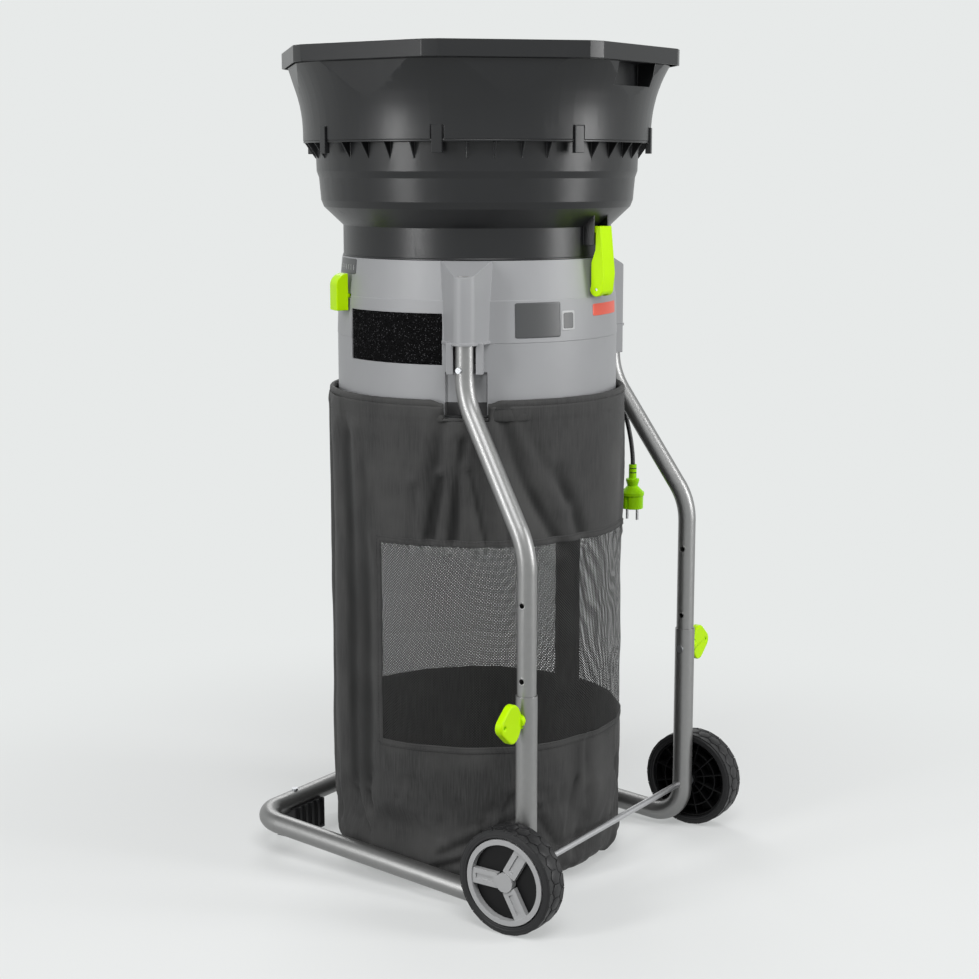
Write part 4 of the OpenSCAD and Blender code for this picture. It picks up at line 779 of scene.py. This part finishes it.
# How deep the cloth sinks below its round wall sets the painted shade in its folds, none near the foot.
FOLD_SHADE_FROM, FOLD_SHADE_FULL = 0.0024, 0.0090
spots = np.array([v.co for v in cloth_mesh.vertices])
sunk = BAG_R - np.hypot(spots[:, 0], spots[:, 1] - DRUM_Y)
sunk = FOLD_SHADE_FROM + (sunk - FOLD_SHADE_FROM) * smoothstep((spots[:, 2] - RAIL_TOP) / (RAIL_EASE + FOOT_ROUND))
fold_shade = cloth_mesh.attributes.new("painted_fold_shade", "FLOAT", "POINT")
fold_shade.data.foreach_set("value", smoothstep((sunk - FOLD_SHADE_FROM) / (FOLD_SHADE_FULL - FOLD_SHADE_FROM)))


def evaluated_mesh(carrier):
    graph = bpy.context.evaluated_depsgraph_get()
    return bpy.data.meshes.new_from_object(carrier.evaluated_get(graph), preserve_all_data_layers=True,
                                           depsgraph=graph)


def thickened(mesh, thickness):
    raw = in_scene("raw", mesh)
    wall = raw.modifiers.new("thickness", "SOLIDIFY")
    wall.thickness, wall.offset = thickness, -1.0
    result = evaluated_mesh(raw)
    bpy.data.objects.remove(raw)
    return result


cloth = dress("leaf_bag_cloth", thickened(cloth_mesh, CLOTH_THICK), "machine", bag_cloth, "bag_cloth", "leaf_bag")

# %% [markdown]
# ### Windows, binding and stitches
# Two wide windows of mesh let the air out. Each is the same surface as the cloth, cut along the
# binding, so the mesh follows the folds. A flat binding covers the raw edge, and two rows of stitches
# hold it down. Over a thousand stitches follow paths, which is work for Geometry Nodes: a path becomes a
# curve, is resampled at the stitch length, and a small thread loop is placed at each point.

# %% Mesh windows on the same surface
PANE_LIFT, PANE_SLANTS = -0.0004, (0.0, math.radians(41.0))
window_rows = rows[(rows[:, 1] <= WINDOW_TOP + 1e-9) & (rows[:, 1] >= WINDOW_SILL - 1e-9)]
window_run = np.linspace(0.0, WINDOW_TOP - WINDOW_SILL, len(window_rows))
pane_shape = bmesh.new()
pane_area = 0.0
for (low, high), slant in zip(WINDOWS_DEG, PANE_SLANTS):
    angles = np.arange(low, high + COLUMN / 2, COLUMN)
    pane = grid_mesh("pane", bag_points(angles, window_rows, PANE_LIFT), angles, window_run,
                     lambda row, at: True, slant=slant)
    pane_area += mesh_area(pane)
    pane_shape.from_mesh(pane)
    bpy.data.meshes.remove(pane)
windows = dress("bag_mesh_windows", plain_mesh(pane_shape, "bag_mesh_windows"), "machine", bag_mesh, "bag_mesh",
                "bag_windows")
print("mesh area", round(pane_area, 4), "m2")

# %% Binding round each window
BIND_IN, BIND_OUT, BIND_HIGH, BIND_EDGE, BIND_UNDER, BIND_ROUND = 0.0025, 0.0075, 0.0011, 0.0007, -0.0006, 0.001
BINDING = [(-BIND_IN, BIND_UNDER), (-BIND_IN, BIND_EDGE), (-BIND_IN + BIND_ROUND, BIND_HIGH),
           (BIND_OUT - BIND_ROUND, BIND_HIGH), (BIND_OUT, BIND_EDGE), (BIND_OUT, BIND_UNDER)]
STRIP_ALONG, STRIP_ACROSS = 0.006, 0.004


def frame_path(low, high, grow):
    reach = math.degrees(grow / BAG_R)
    a0, a1, z0, z1 = low - reach, high + reach, WINDOW_SILL - grow, WINDOW_TOP + grow
    along = np.linspace(a0, a1, int((a1 - a0) / COLUMN) + 1)
    upright = np.linspace(z0, z1, WINDOW_ROWS)
    path = [(a, z1) for a in along[:-1]] + [(a1, z) for z in upright[::-1][:-1]]
    return path + [(a, z0) for a in along[::-1][:-1]] + [(a0, z) for z in upright[:-1]]


def on_cloth(path, lift):
    angle, height = np.array(path).T
    r = BAG_R + bag_relief(angle, height, np.full(len(angle), BAG_R)) + lift
    return np.stack([r * np.cos(np.radians(angle)), r * np.sin(np.radians(angle)) + DRUM_Y, height], axis=-1)


binding_shape = bmesh.new()
for low, high in WINDOWS_DEG:
    count = len(frame_path(low, high, 0.0))
    loops = []
    for grow, lift in BINDING:
        path = frame_path(low, high, grow)
        picks = np.linspace(0, len(path), count, endpoint=False).astype(int)
        loops.append(on_cloth([path[p] for p in picks], lift))
    bridge(binding_shape, loops, True, lambda k, i: (k * STRIP_ALONG, i * STRIP_ACROSS))
binding = dress("window_binding", settled_mesh(binding_shape, "window_binding"), "machine", bag_cloth, "bag_cloth")
print("binding faces", len(binding.data.polygons))

# %% Geometry tree that sews stitches along a path
GEOMETRY, OBJECT, MATERIAL = "NodeSocketGeometry", "NodeSocketObject", "NodeSocketMaterial"
ALIGN = "FunctionNodeAlignRotationToVector"


def vector_of(tree, label):
    named = add(tree, "GeometryNodeInputNamedAttribute", {"Name": label}, data_type="FLOAT_VECTOR")
    return named.outputs["Attribute"]


def set_copies(tree, out, points, shape, finish, rotation, **more):
    info = add(tree, "GeometryNodeObjectInfo", {"Object": shape}, transform_space="ORIGINAL")
    copies = add(tree, "GeometryNodeInstanceOnPoints",
                 {"Points": points, "Instance": info.outputs["Geometry"], "Rotation": rotation, **more})
    real = add(tree, "GeometryNodeRealizeInstances", {"Geometry": copies.outputs["Instances"]})
    coloured = add(tree, "GeometryNodeSetMaterial", {"Geometry": real.outputs["Geometry"], "Material": finish})
    tree.links.new(coloured.outputs["Geometry"], out["Geometry"])


stitch_tree, given, out = begin_group(
    "Stitches along a path",
    [("Path", GEOMETRY, None), ("Gap", FLOAT, 0.005), ("Stitch", OBJECT, None), ("Thread", MATERIAL, None)],
    [("Geometry", GEOMETRY)], "GeometryNodeTree")
line = add(stitch_tree, "GeometryNodeMeshToCurve", {"Mesh": given["Path"]}).outputs["Curve"]
spaced = add(stitch_tree, "GeometryNodeResampleCurve", {"Curve": line, "Length": given["Gap"]}, mode="LENGTH")
tangent = add(stitch_tree, "GeometryNodeInputTangent").outputs[0]
along = add(stitch_tree, ALIGN, {"Vector": tangent}, axis="X")
stood = add(stitch_tree, ALIGN, {"Rotation": along.outputs[0], "Vector": vector_of(stitch_tree, "aim")},
            axis="Z", pivot_axis="X")
set_copies(stitch_tree, out, spaced.outputs["Curve"], given["Stitch"], given["Thread"], stood.outputs["Rotation"])


def grown(base, tree, values):
    carrier = in_scene("carrier", base)
    maker = carrier.modifiers.new("maker", "NODES")
    maker.node_group = tree
    for item in tree.interface.items_tree:
        if item.in_out == "INPUT" and item.name in values:
            maker[item.identifier] = values[item.name]
    mesh = evaluated_mesh(carrier)
    carrier.modifiers.remove(maker)
    bpy.data.objects.remove(carrier)
    for face in mesh.polygons:
        face.use_smooth = True
    return mesh


def pattern_object(name, shape):
    return in_scene(name, settled_mesh(shape, name))


print("stitch tree has", len(stitch_tree.nodes), "nodes")

# %% One stitch, and the paths that carry them
STITCH = [(-0.0018, -0.0002, 0.00020), (-0.0011, 0.0004, 0.00045), (0.0011, 0.0004, 0.00045),
          (0.0018, -0.0002, 0.00020)]  # along, up, radius
STITCH_GAP, SEAM_IN = 0.0055, 0.0016
stitch_shape = bmesh.new()
bridge(stitch_shape, [[(x, r * math.cos(turn), z + r * math.sin(turn)) for turn in turns_of(5)]
                      for x, z, r in STITCH])
stitch = pattern_object("one_stitch", stitch_shape)


def sewing_lines(lines):
    points, edges, aims = [], [], []
    for line, closed in lines:
        start, count = len(points), len(line)
        points += [tuple(p) for p in line]
        edges += [(start + i, start + (i + 1) % count) for i in range(count if closed else count - 1)]
        aims += [Vector((p[0], p[1] - DRUM_Y, 0.0)).normalized() for p in line]
    mesh = bpy.data.meshes.new("sewing_lines")
    mesh.from_pydata(points, edges, [])
    aim = mesh.attributes.new("aim", "FLOAT_VECTOR", "POINT")
    aim.data.foreach_set("vector", [c for a in aims for c in a])
    return mesh


def sewn(name, lines):
    values = {"Gap": STITCH_GAP, "Stitch": stitch, "Thread": thread_finish}
    row = grown(sewing_lines(lines), stitch_tree, values)
    print(name, len(row.polygons) // len(stitch.data.polygons))
    return dress(name, row, "machine", thread_finish, "bag_cloth")


seams = [(on_cloth(frame_path(low, high, grow), BIND_HIGH), True)
         for low, high in WINDOWS_DEG for grow in (-BIND_IN + SEAM_IN, BIND_OUT - SEAM_IN)]
stitches = sewn("window_stitches", seams)

for piece in (cloth, windows, binding, stitches):
    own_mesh(piece)

# %% [markdown]
# ### The hem
# The top of the bag is a flat hem, folded over a ring and hooked above a bead on the housing. It stops
# at two notches where the legs come out. Its section is drawn as a flat band under a thin roll, and
# is swept round the drum. Noise and short pulls keep it from looking turned on a lathe, and a row of
# stitches closes it.

# %% Sweep the hem
HEM_MM = [(232.2, 730.4), (233.2, 732.6), (233.3, 740.0), (233.0, 747.0), (232.6, 751.0), (233.4, 753.2),
          (233.9, 756.2), (233.4, 759.2), (231.9, 761.2), (229.6, 761.8), (227.2, 761.0), (225.6, 759.0),
          (225.0, 755.8), (225.8, 752.0), (226.6, 747.0), (226.8, 740.0), (226.8, 733.0), (228.0, 730.4)]
BAND_MM = [(229.1 + 3.8 * math.cos(turn), 732.6 + 2.2 * math.sin(turn)) for turn in turns_of(len(HEM_MM))]
HEM_OUTER, HEM_LOW, HEM_TALL, HEM_STEP = 229.5, 730.0, 32.0, 1.2
HEM_GRAIN, RIPPLE, RIPPLE_FINE, SWAY, SWAY_FINE = 9.0, 0.7, 2.6, 0.8, 1.3
END_PULL, END_SPAN = 5.0, 5.0


def on_drum(r, turn, z):
    return Vector((r * math.cos(turn), r * math.sin(turn) + DRUM_Y, z))


def hem_section(angle, section, pull=0.0):
    turn = math.radians(angle)
    ring = []
    for r, z in section:
        spot = Vector((math.cos(turn) * HEM_GRAIN, math.sin(turn) * HEM_GRAIN, z / HEM_GRAIN))
        ripple = RIPPLE * (noise.noise(spot * RIPPLE_FINE) - 0.5) if r > HEM_OUTER else 0.0
        z = z - pull * (z - HEM_LOW) / HEM_TALL + SWAY * noise.noise(spot * SWAY_FINE)
        ring.append(on_drum((r + ripple) * MM, turn, z * MM))
    return ring


def along_strip(k, i):
    return (i * STRIP_ALONG, k * STRIP_ACROSS)


hem_shape = bmesh.new()
for start, end in HEM_ARCS:
    rings = []
    for angle in np.linspace(start, end, int((end - start) / HEM_STEP)):
        near_end = min(angle - start, end - angle)
        pull = END_PULL * (1.0 - float(smoothstep(np.array(near_end / END_SPAN))))
        rings.append(hem_section(angle, HEM_MM, pull))
    bridge(hem_shape, rings, flat_map=along_strip)
bridge(hem_shape, [hem_section(a, BAND_MM) for a in np.arange(0.0, 360.0, COLUMN)], True, along_strip)
hem = dress("bag_hem_roll", settled_mesh(hem_shape, "bag_hem_roll", 60.0), "machine", bag_cloth, "bag_cloth",
            "bag_hem")
HEM_SEAM_R, HEM_SEAM_Z, HEM_SEAM_END = 0.2328, 0.7492, 3.0
hem_lines = []
for start, end in HEM_ARCS:
    arc = np.radians(np.linspace(start + HEM_SEAM_END, end - HEM_SEAM_END, 160))
    hem_lines.append(([on_drum(HEM_SEAM_R, turn, HEM_SEAM_Z) for turn in arc], False))
sewn("hem_stitches", hem_lines)
bpy.data.objects.remove(stitch)
print("hem faces", len(hem.data.polygons))

# %% Helper that closes a stack of grids, for thin plates and pads
def slab(shape, layers):
    layers = [[[shape.verts.new(p) for p in row] for row in grid] for grid in layers]
    rows, cols = len(layers[0]) - 1, len(layers[0][0]) - 1
    for grid in (layers[0], layers[-1]):
        for i in range(rows):
            for j in range(cols):
                shape.faces.new((grid[i][j], grid[i][j + 1], grid[i + 1][j + 1], grid[i + 1][j]))
    border = ([(0, j) for j in range(cols)] + [(i, cols) for i in range(rows)]
              + [(rows, j) for j in range(cols, 0, -1)] + [(i, 0) for i in range(rows, 0, -1)])
    for here, there in zip(layers, layers[1:]):
        for (i, j), (m, n) in zip(border, border[1:] + border[:1]):
            shape.faces.new((here[i][j], here[m][n], there[m][n], there[i][j]))


# %% Sheet of painted shade behind each notch, laid on the housing
# The notch is only in shade there, so a near black sheet stands for that shade.
SHADE_SHEET_Z, SHADE_SHEET_LIFTS, SHADE_SHEET_REACH = (0.7350, 0.7575), (0.0003, 0.0013), 0.97 * NOTCH_HALF
OUTSIDE = 0.300
shade_sheet_shape = bmesh.new()
ring_shape = bmesh.new()
ring_shape.from_mesh(nodes["housing_lower"].data)
housing_skin = BVHTree.FromBMesh(ring_shape)
ring_shape.free()


def on_housing(turn, z, lift):
    way = Vector((math.cos(turn), math.sin(turn), 0.0))
    return housing_skin.ray_cast(on_drum(OUTSIDE, turn, z), -way)[0] + way * lift


for middle in (NOTCH_RIGHT, NOTCH_LEFT):
    arc = np.radians(np.linspace(middle - SHADE_SHEET_REACH, middle + SHADE_SHEET_REACH, 33))
    slab(shade_sheet_shape, [[[on_housing(turn, z, lift) for turn in arc] for z in np.linspace(*SHADE_SHEET_Z, 8)]
                        for lift in SHADE_SHEET_LIFTS])
shade_sheet = dress("notch_lining", settled_mesh(shade_sheet_shape, "notch_lining"), "machine", thread_finish, "bag_cloth")
print("lining faces", len(shade_sheet.data.polygons))

# %% [markdown]
# ## The air filter
# Open foam fills the window in the housing. Its pores are big enough to see, so they are pressed into
# the mesh: a Voronoi pattern tells how far a spot lies from the thin walls between pores, and the face
# sinks inside each pore.

# %% Foam pad with real pores
FOAM_IN, FOAM_OUT, FOAM_MID, FOAM_SPAN, FOAM_LOW, FOAM_HIGH = 0.2112, 0.2184, -2.5, 46.8, 0.8122, 0.8873
FOAM_COLS, FOAM_ROWS, FOAM_RIM = 190, 84, 3.0
PORES_PER_M, PORE_DEEP, PORE_SHARP, PORE_SHARE = 330.0, 0.0021, 1.7, 0.85
RIM_PIT, RIM_DROP = 0.0014, 0.0008


def foam_radius(i, j, turn, z):
    spot = Vector((FOAM_OUT * math.cos(turn), FOAM_OUT * math.sin(turn), z))
    gaps = noise.voronoi(spot * PORES_PER_M)[0]
    border = min(i, FOAM_ROWS - i, j, FOAM_COLS - j) / FOAM_RIM
    pit = PORE_DEEP * min(1.0, PORE_SHARP * (gaps[1] - gaps[0])) if border > 0 else RIM_PIT
    return FOAM_OUT - PORE_SHARE * pit - RIM_DROP * max(0.0, 1.0 - border)


front, back = [], []
for i in range(FOAM_ROWS + 1):
    z = FOAM_LOW + (FOAM_HIGH - FOAM_LOW) * i / FOAM_ROWS
    arc = [math.radians(FOAM_MID + FOAM_SPAN * (j / FOAM_COLS - 0.5)) for j in range(FOAM_COLS + 1)]
    front.append([on_drum(foam_radius(i, j, turn, z), turn, z) for j, turn in enumerate(arc)])
    back.append([on_drum(FOAM_IN, turn, z) for turn in arc])
foam_shape = bmesh.new()
slab(foam_shape, [front, back])
foam = dress("filter_foam_pad", settled_mesh(foam_shape, "filter_foam_pad", 70.0), "machine", filter_foam,
             "filter_foam", "air_filter")
print("foam faces", len(foam.data.polygons))

# %% [markdown]
# ## Tyres
# A hard rubber tyre is pressed on each wheel. Its body is a turned section, and its tread is a ring of
# six-sided blocks with half blocks on both shoulders. Copies on marked points suit a second geometry
# tree: each point says which way its copy stands and which way it faces.

# %% Geometry tree that sets copies on marked points
copy_tree, given, out = begin_group(
    "Copies on marked points",
    [("Points", GEOMETRY, None), ("Shape", OBJECT, None), ("Finish", MATERIAL, None), ("Size", FLOAT, 1.0)],
    [("Geometry", GEOMETRY)], "GeometryNodeTree")
stand = add(copy_tree, ALIGN, {"Vector": vector_of(copy_tree, "aim")}, axis="Z")
face_on = add(copy_tree, ALIGN, {"Rotation": stand.outputs[0], "Vector": vector_of(copy_tree, "side")},
              axis="X", pivot_axis="Z")
set_copies(copy_tree, out, given["Points"], given["Shape"], given["Finish"], face_on.outputs["Rotation"],
           Scale=given["Size"])


def marked_points(marks):
    mesh = bpy.data.meshes.new("marks")
    mesh.from_pydata([m[0] for m in marks], [], [])
    for place_in, label in ((1, "aim"), (2, "side")):
        layer = mesh.attributes.new(label, "FLOAT_VECTOR", "POINT")
        layer.data.foreach_set("vector", [c for m in marks for c in m[place_in]])
    return mesh


print("copy tree has", len(copy_tree.nodes), "nodes")

# %% Turned body and tread blocks of both tyres
WHEEL_Y, WHEEL_Z, WHEEL_MID_X = 0.232, 0.080, 0.279
TYRE_MM = [(66.3, -19.4), (68.0, -20.8), (70.4, -20.4), (71.2, -20.8), (75.2, -20.3), (77.0, -18.8), (77.7, -15.5),
           (78.0, -9.0), (78.0, 0.0), (78.0, 9.0), (77.7, 15.5), (77.0, 18.8), (75.2, 20.3), (71.2, 20.8),
           (70.4, 20.4), (68.0, 20.8), (66.3, 19.4)]  # radius, across
TYRE_STEPS, BLOCKS, ROW_APART = 108, 24, 0.0146
CENTRE_REACH, EDGE_REACH = 0.0791, 0.0786


def block_shape(outline, top=0.0, low=-0.0040, foot=1.03, lip=0.0004, chamfer=0.93):
    shape = bmesh.new()
    levels = [(low, foot), (top - lip, 1.0), (top, chamfer)]
    bridge(shape, [[(x * grow, y * grow, z) for x, y in outline] for z, grow in levels])
    return shape


HEX = 0.0110
hexagon = [(HEX * math.cos(turn), HEX * math.sin(turn)) for turn in turns_of(6)]
half = [(-0.0052, -0.0045), (-0.0052, 0.0045), (0.0005, 0.0096), (0.0044, 0.0096), (0.0044, -0.0096),
        (0.0005, -0.0096)]
centre_block = pattern_object("centre_block", block_shape(hexagon))
edge_block = pattern_object("edge_block", block_shape(half))


def tread_marks(sign, row):
    marks = []
    for k in range(BLOCKS):
        turn = math.tau * (k + (0.5 if row else 0.0)) / BLOCKS
        outward = Vector((0, math.cos(turn), math.sin(turn)))
        middle = Vector((sign * (WHEEL_MID_X + row * ROW_APART), WHEEL_Y, WHEEL_Z))
        at = middle + outward * (EDGE_REACH if row else CENTRE_REACH)
        marks.append((at, outward, Vector((row * sign or sign, 0, 0))))
    return marks


for sign, name in SIDES:
    shape = bmesh.new()
    bridge(shape, [[(sign * (WHEEL_MID_X + a * MM), WHEEL_Y + r * MM * math.cos(turn),
                     WHEEL_Z + r * MM * math.sin(turn)) for r, a in TYRE_MM] for turn in turns_of(TYRE_STEPS)], True)
    for marks, source in ((tread_marks(sign, 0), centre_block),
                          (tread_marks(sign, -1) + tread_marks(sign, 1), edge_block)):
        tread = grown(marked_points(marks), copy_tree, {"Shape": source, "Finish": tyre_rubber, "Size": 1.0})
        shape.from_mesh(tread)
        bpy.data.meshes.remove(tread)
    tyre = dress(name + "_tyre_rubber", settled_mesh(shape, name + "_tyre_rubber", 32.0), name + "_wheel",
                 tyre_rubber, "tyre", name + "_tyre")
for source in (centre_block, edge_block):
    bpy.data.objects.remove(source)
print("tyre faces", len(tyre.data.polygons))

# %% [markdown]
# ## Plain plates on the housing
# The housing has places for a rating plate, a small sign, a bright strip under the latch and a scale
# beside the selector. They stay blank here, apart from plain ticks on the scale. Each is a thin plate
# bent round the drum, with rounded corners made by squeezing the corner squares of a grid to arcs.

# %% Bent plates and the scale's ticks
DRUM_AT, DRUM_R = [0.735, 0.844, 0.906, 0.9061, 0.964], [0.2195, 0.2200, 0.2178, 0.2170, 0.2110]
PLATE_R, PLATE_UNDER, PLATE_CORNER, PLATE_EDGE, PLATE_STEPS = 0.2185, -0.0004, 0.003, 0.0003, 24


def drum_radius(z):
    return float(np.interp(z, DRUM_AT, DRUM_R))


def rounded(x, y, half_w, half_t):
    over_x, over_y = [(abs(v) - half + PLATE_CORNER) / PLATE_CORNER for v, half in ((x, half_w), (y, half_t))]
    if over_x > 0 and over_y > 0:
        pull = PLATE_CORNER * max(over_x, over_y) / math.hypot(over_x, over_y)
        x = math.copysign(half_w - PLATE_CORNER + over_x * pull, x)
        y = math.copysign(half_t - PLATE_CORNER + over_y * pull, y)
    return x, y


def bent_plate(name, low, high, z0, z1, thick, inset):
    wide, tall = math.radians(high - low) * PLATE_R - 2 * inset, z1 - z0 - 2 * inset
    shares = [2 * k / PLATE_STEPS - 1 for k in range(PLATE_STEPS + 1)]
    layers = []
    for lift, shrink in ((PLATE_UNDER, 0.0), (thick * 0.6, 0.0), (thick, PLATE_EDGE)):
        half_w, half_t = wide / 2 - shrink, tall / 2 - shrink
        layers.append([])
        for v in shares:
            flat = [rounded(u * half_w, v * half_t, half_w, half_t) for u in shares]
            spots = [(math.radians((low + high) / 2) + x / PLATE_R, (z0 + z1) / 2 + y) for x, y in flat]
            layers[-1].append([on_drum(drum_radius(z) + lift, turn, z) for turn, z in spots])
    shape = bmesh.new()
    slab(shape, layers)
    return settled_mesh(shape, name)


plate_dark = moulded("plate_dark", (0.060, 0.062, 0.064), 0.38, bump=0.03, shade=0.05, dust=0.0)
plate_pale = moulded("plate_pale", (0.44, 0.445, 0.45), 0.40, bump=0.03, shade=0.03, dust=0.0)
strip_coral = moulded("strip_coral", (0.78, 0.10, 0.055), 0.40, bump=0.03, shade=0.04, dust=0.0)
for name, spans, finish, thick, inset in (
        ("rating_plate", (49.3, 68.9, 0.851, 0.903), plate_dark, 0.0005, 0.0),
        ("sign_plate", (69.6, 76.1, 0.860, 0.889), plate_pale, 0.0005, 0.0),
        ("sign_field", (69.6, 76.1, 0.860, 0.889), plate_dark, 0.0008, 0.0028),
        ("bright_strip", (87.5, 111.0, 0.878, 0.896), strip_coral, 0.0005, 0.0),
        ("scale_plate", (-45.0, -24.7, 0.939, 0.962), plate_dark, 0.0005, 0.0)):
    dress(name, bent_plate(name, *spans, thick, inset), "machine", finish, "black_plastic")
TICKS, TICK_FROM, TICK_SPAN, TICK_Z, TICK_LIFT = 7, -43.0, 16.2, 0.949, 0.0006
tick_outline = [(-0.0006, -0.004), (0.0006, -0.004), (0.0006, 0.004), (-0.0006, 0.004)]
tick = pattern_object("one_tick", block_shape(tick_outline, 0.0003, -0.0003))
tick_marks = []
for k in range(TICKS):
    turn = math.radians(TICK_FROM + TICK_SPAN * k / (TICKS - 1))
    outward = Vector((math.cos(turn), math.sin(turn), 0))
    at = on_drum(drum_radius(TICK_Z) + TICK_LIFT, turn, TICK_Z)
    tick_marks.append((at, outward, Vector((-outward.y, outward.x, 0))))
tick_row = grown(marked_points(tick_marks), copy_tree, {"Shape": tick, "Finish": plate_pale, "Size": 1.0})
dress("scale_ticks", tick_row, "machine", plate_pale, "trim_plastic")
bpy.data.objects.remove(tick)
print("plates and", len(tick_marks), "ticks")

# %% [markdown]
# ## Floor, background and light
# The machine stands on a pale studio floor that keeps its shadow. Further out the floor's material fades
# into the same pale tone as the background, so there is no horizon line. The world shows that tone only to
# the eye, to reflections and to light that passes through, and lights the scene at a plainer level. Four lamps
# give soft highlights along the tubes, and the tone overhead is darker, as a studio's ceiling is.

# %% Floor that fades into the background
PALE, FLOOR_TONE, FLOOR_BOUNCE = (0.80, 0.82, 0.815, 1.0), (0.80, 0.81, 0.81, 1.0), grey(0.42)
FLOOR_R, FADE_FROM, FADE_TO = 9.0, 0.45, 1.4
LEAST_GLOW, GLOW_UNSEEN = 0.42, 0.18
floor_shape = bmesh.new()
bmesh.ops.create_circle(floor_shape, cap_ends=True, radius=FLOOR_R, segments=96)
floor_finish, tree, skin = open_finish("studio_floor")


def seen_directly(tree):
    ray = add(tree, "ShaderNodeLightPath").outputs
    first = maths(tree, "MAXIMUM", ray["Is Camera Ray"], ray["Is Glossy Ray"])
    return maths(tree, "MAXIMUM", first, ray["Is Transmission Ray"])


seen = seen_directly(tree)
tree.links.new(mixed(tree, seen, FLOOR_BOUNCE, FLOOR_TONE), skin["Base Color"])
skin["Roughness"].default_value = 0.85
skin["Specular IOR Level"].default_value = 0.15
reach = add(tree, "ShaderNodeVectorMath", {0: coords(tree)}, operation="LENGTH").outputs["Value"]
fade = add(tree, "ShaderNodeMapRange", {"Value": reach, "From Min": FADE_FROM, "From Max": FADE_TO},
           interpolation_type="SMOOTHSTEP")
bare = remap(tree, fade.outputs[0], 0.0, 1.0, LEAST_GLOW, 1.0)
glow = add(tree, "ShaderNodeEmission", {"Color": PALE, "Strength": remap(tree, seen, 0.0, 1.0, GLOW_UNSEEN, 1.0)})
lit = tree.nodes["Principled BSDF"]
both = add(tree, "ShaderNodeMixShader", {0: bare, 1: lit.outputs[0], 2: glow.outputs[0]})
tree.links.new(both.outputs[0], tree.nodes["Material Output"].inputs["Surface"])
studio_floor = in_scene("studio_floor", plain_mesh(floor_shape, "studio_floor"))
studio_floor.data.materials.append(floor_finish)
print("floor", 2 * FLOOR_R, "m across")

# %% World and lamps
CEILING, CEILING_FROM, CEILING_FULL, AMBIENT = (0.20, 0.205, 0.205, 1.0), 0.42, 0.92, 0.20
studio = bpy.data.worlds.new("studio")
studio.use_nodes = True
scene.world = studio
tree = studio.node_tree
tree.nodes.clear()
climb = add(tree, "ShaderNodeSeparateXYZ", {"Vector": coords(tree, "Generated")}).outputs["Z"]
wall_tone = mixed(tree, remap(tree, climb, CEILING_FROM, CEILING_FULL), PALE, CEILING)
ambient = add(tree, "ShaderNodeBackground", {"Color": grey(1.0), "Strength": AMBIENT})
backdrop = add(tree, "ShaderNodeBackground", {"Color": wall_tone, "Strength": 1.0})
chosen = add(tree, "ShaderNodeMixShader", {0: seen_directly(tree), 1: ambient.outputs[0], 2: backdrop.outputs[0]})
tree.links.new(chosen.outputs[0], add(tree, "ShaderNodeOutputWorld").inputs["Surface"])

LAMPS = [  # name, place, size in metres and power in watts
    ("left_softbox", (3.15, -0.95, 1.50), (0.6, 2.2), 56.0),
    ("right_softbox", (-1.0, 3.2, 1.50), (0.8, 2.2), 68.0),
    ("top_softbox", (1.7, 1.5, 3.3), (1.8, 1.8), 62.0),
    ("back_softbox", (-2.3, -2.2, 3.0), (2.0, 2.0), 46.0),
]
LIT_MIDDLE = Vector((0, 0, 0.6))
for name, at, size, watts in LAMPS:
    lamp = bpy.data.lights.new(name, "AREA")
    lamp.shape = "RECTANGLE"
    lamp.size, lamp.size_y = size
    lamp.energy = watts
    stand = in_scene(name, lamp)
    stand.location = at
    stand.visible_camera = False
    stand.rotation_euler = (LIT_MIDDLE - Vector(at)).to_track_quat("-Z", "Y").to_euler()
print("lamps:", [lamp[0] for lamp in LAMPS])
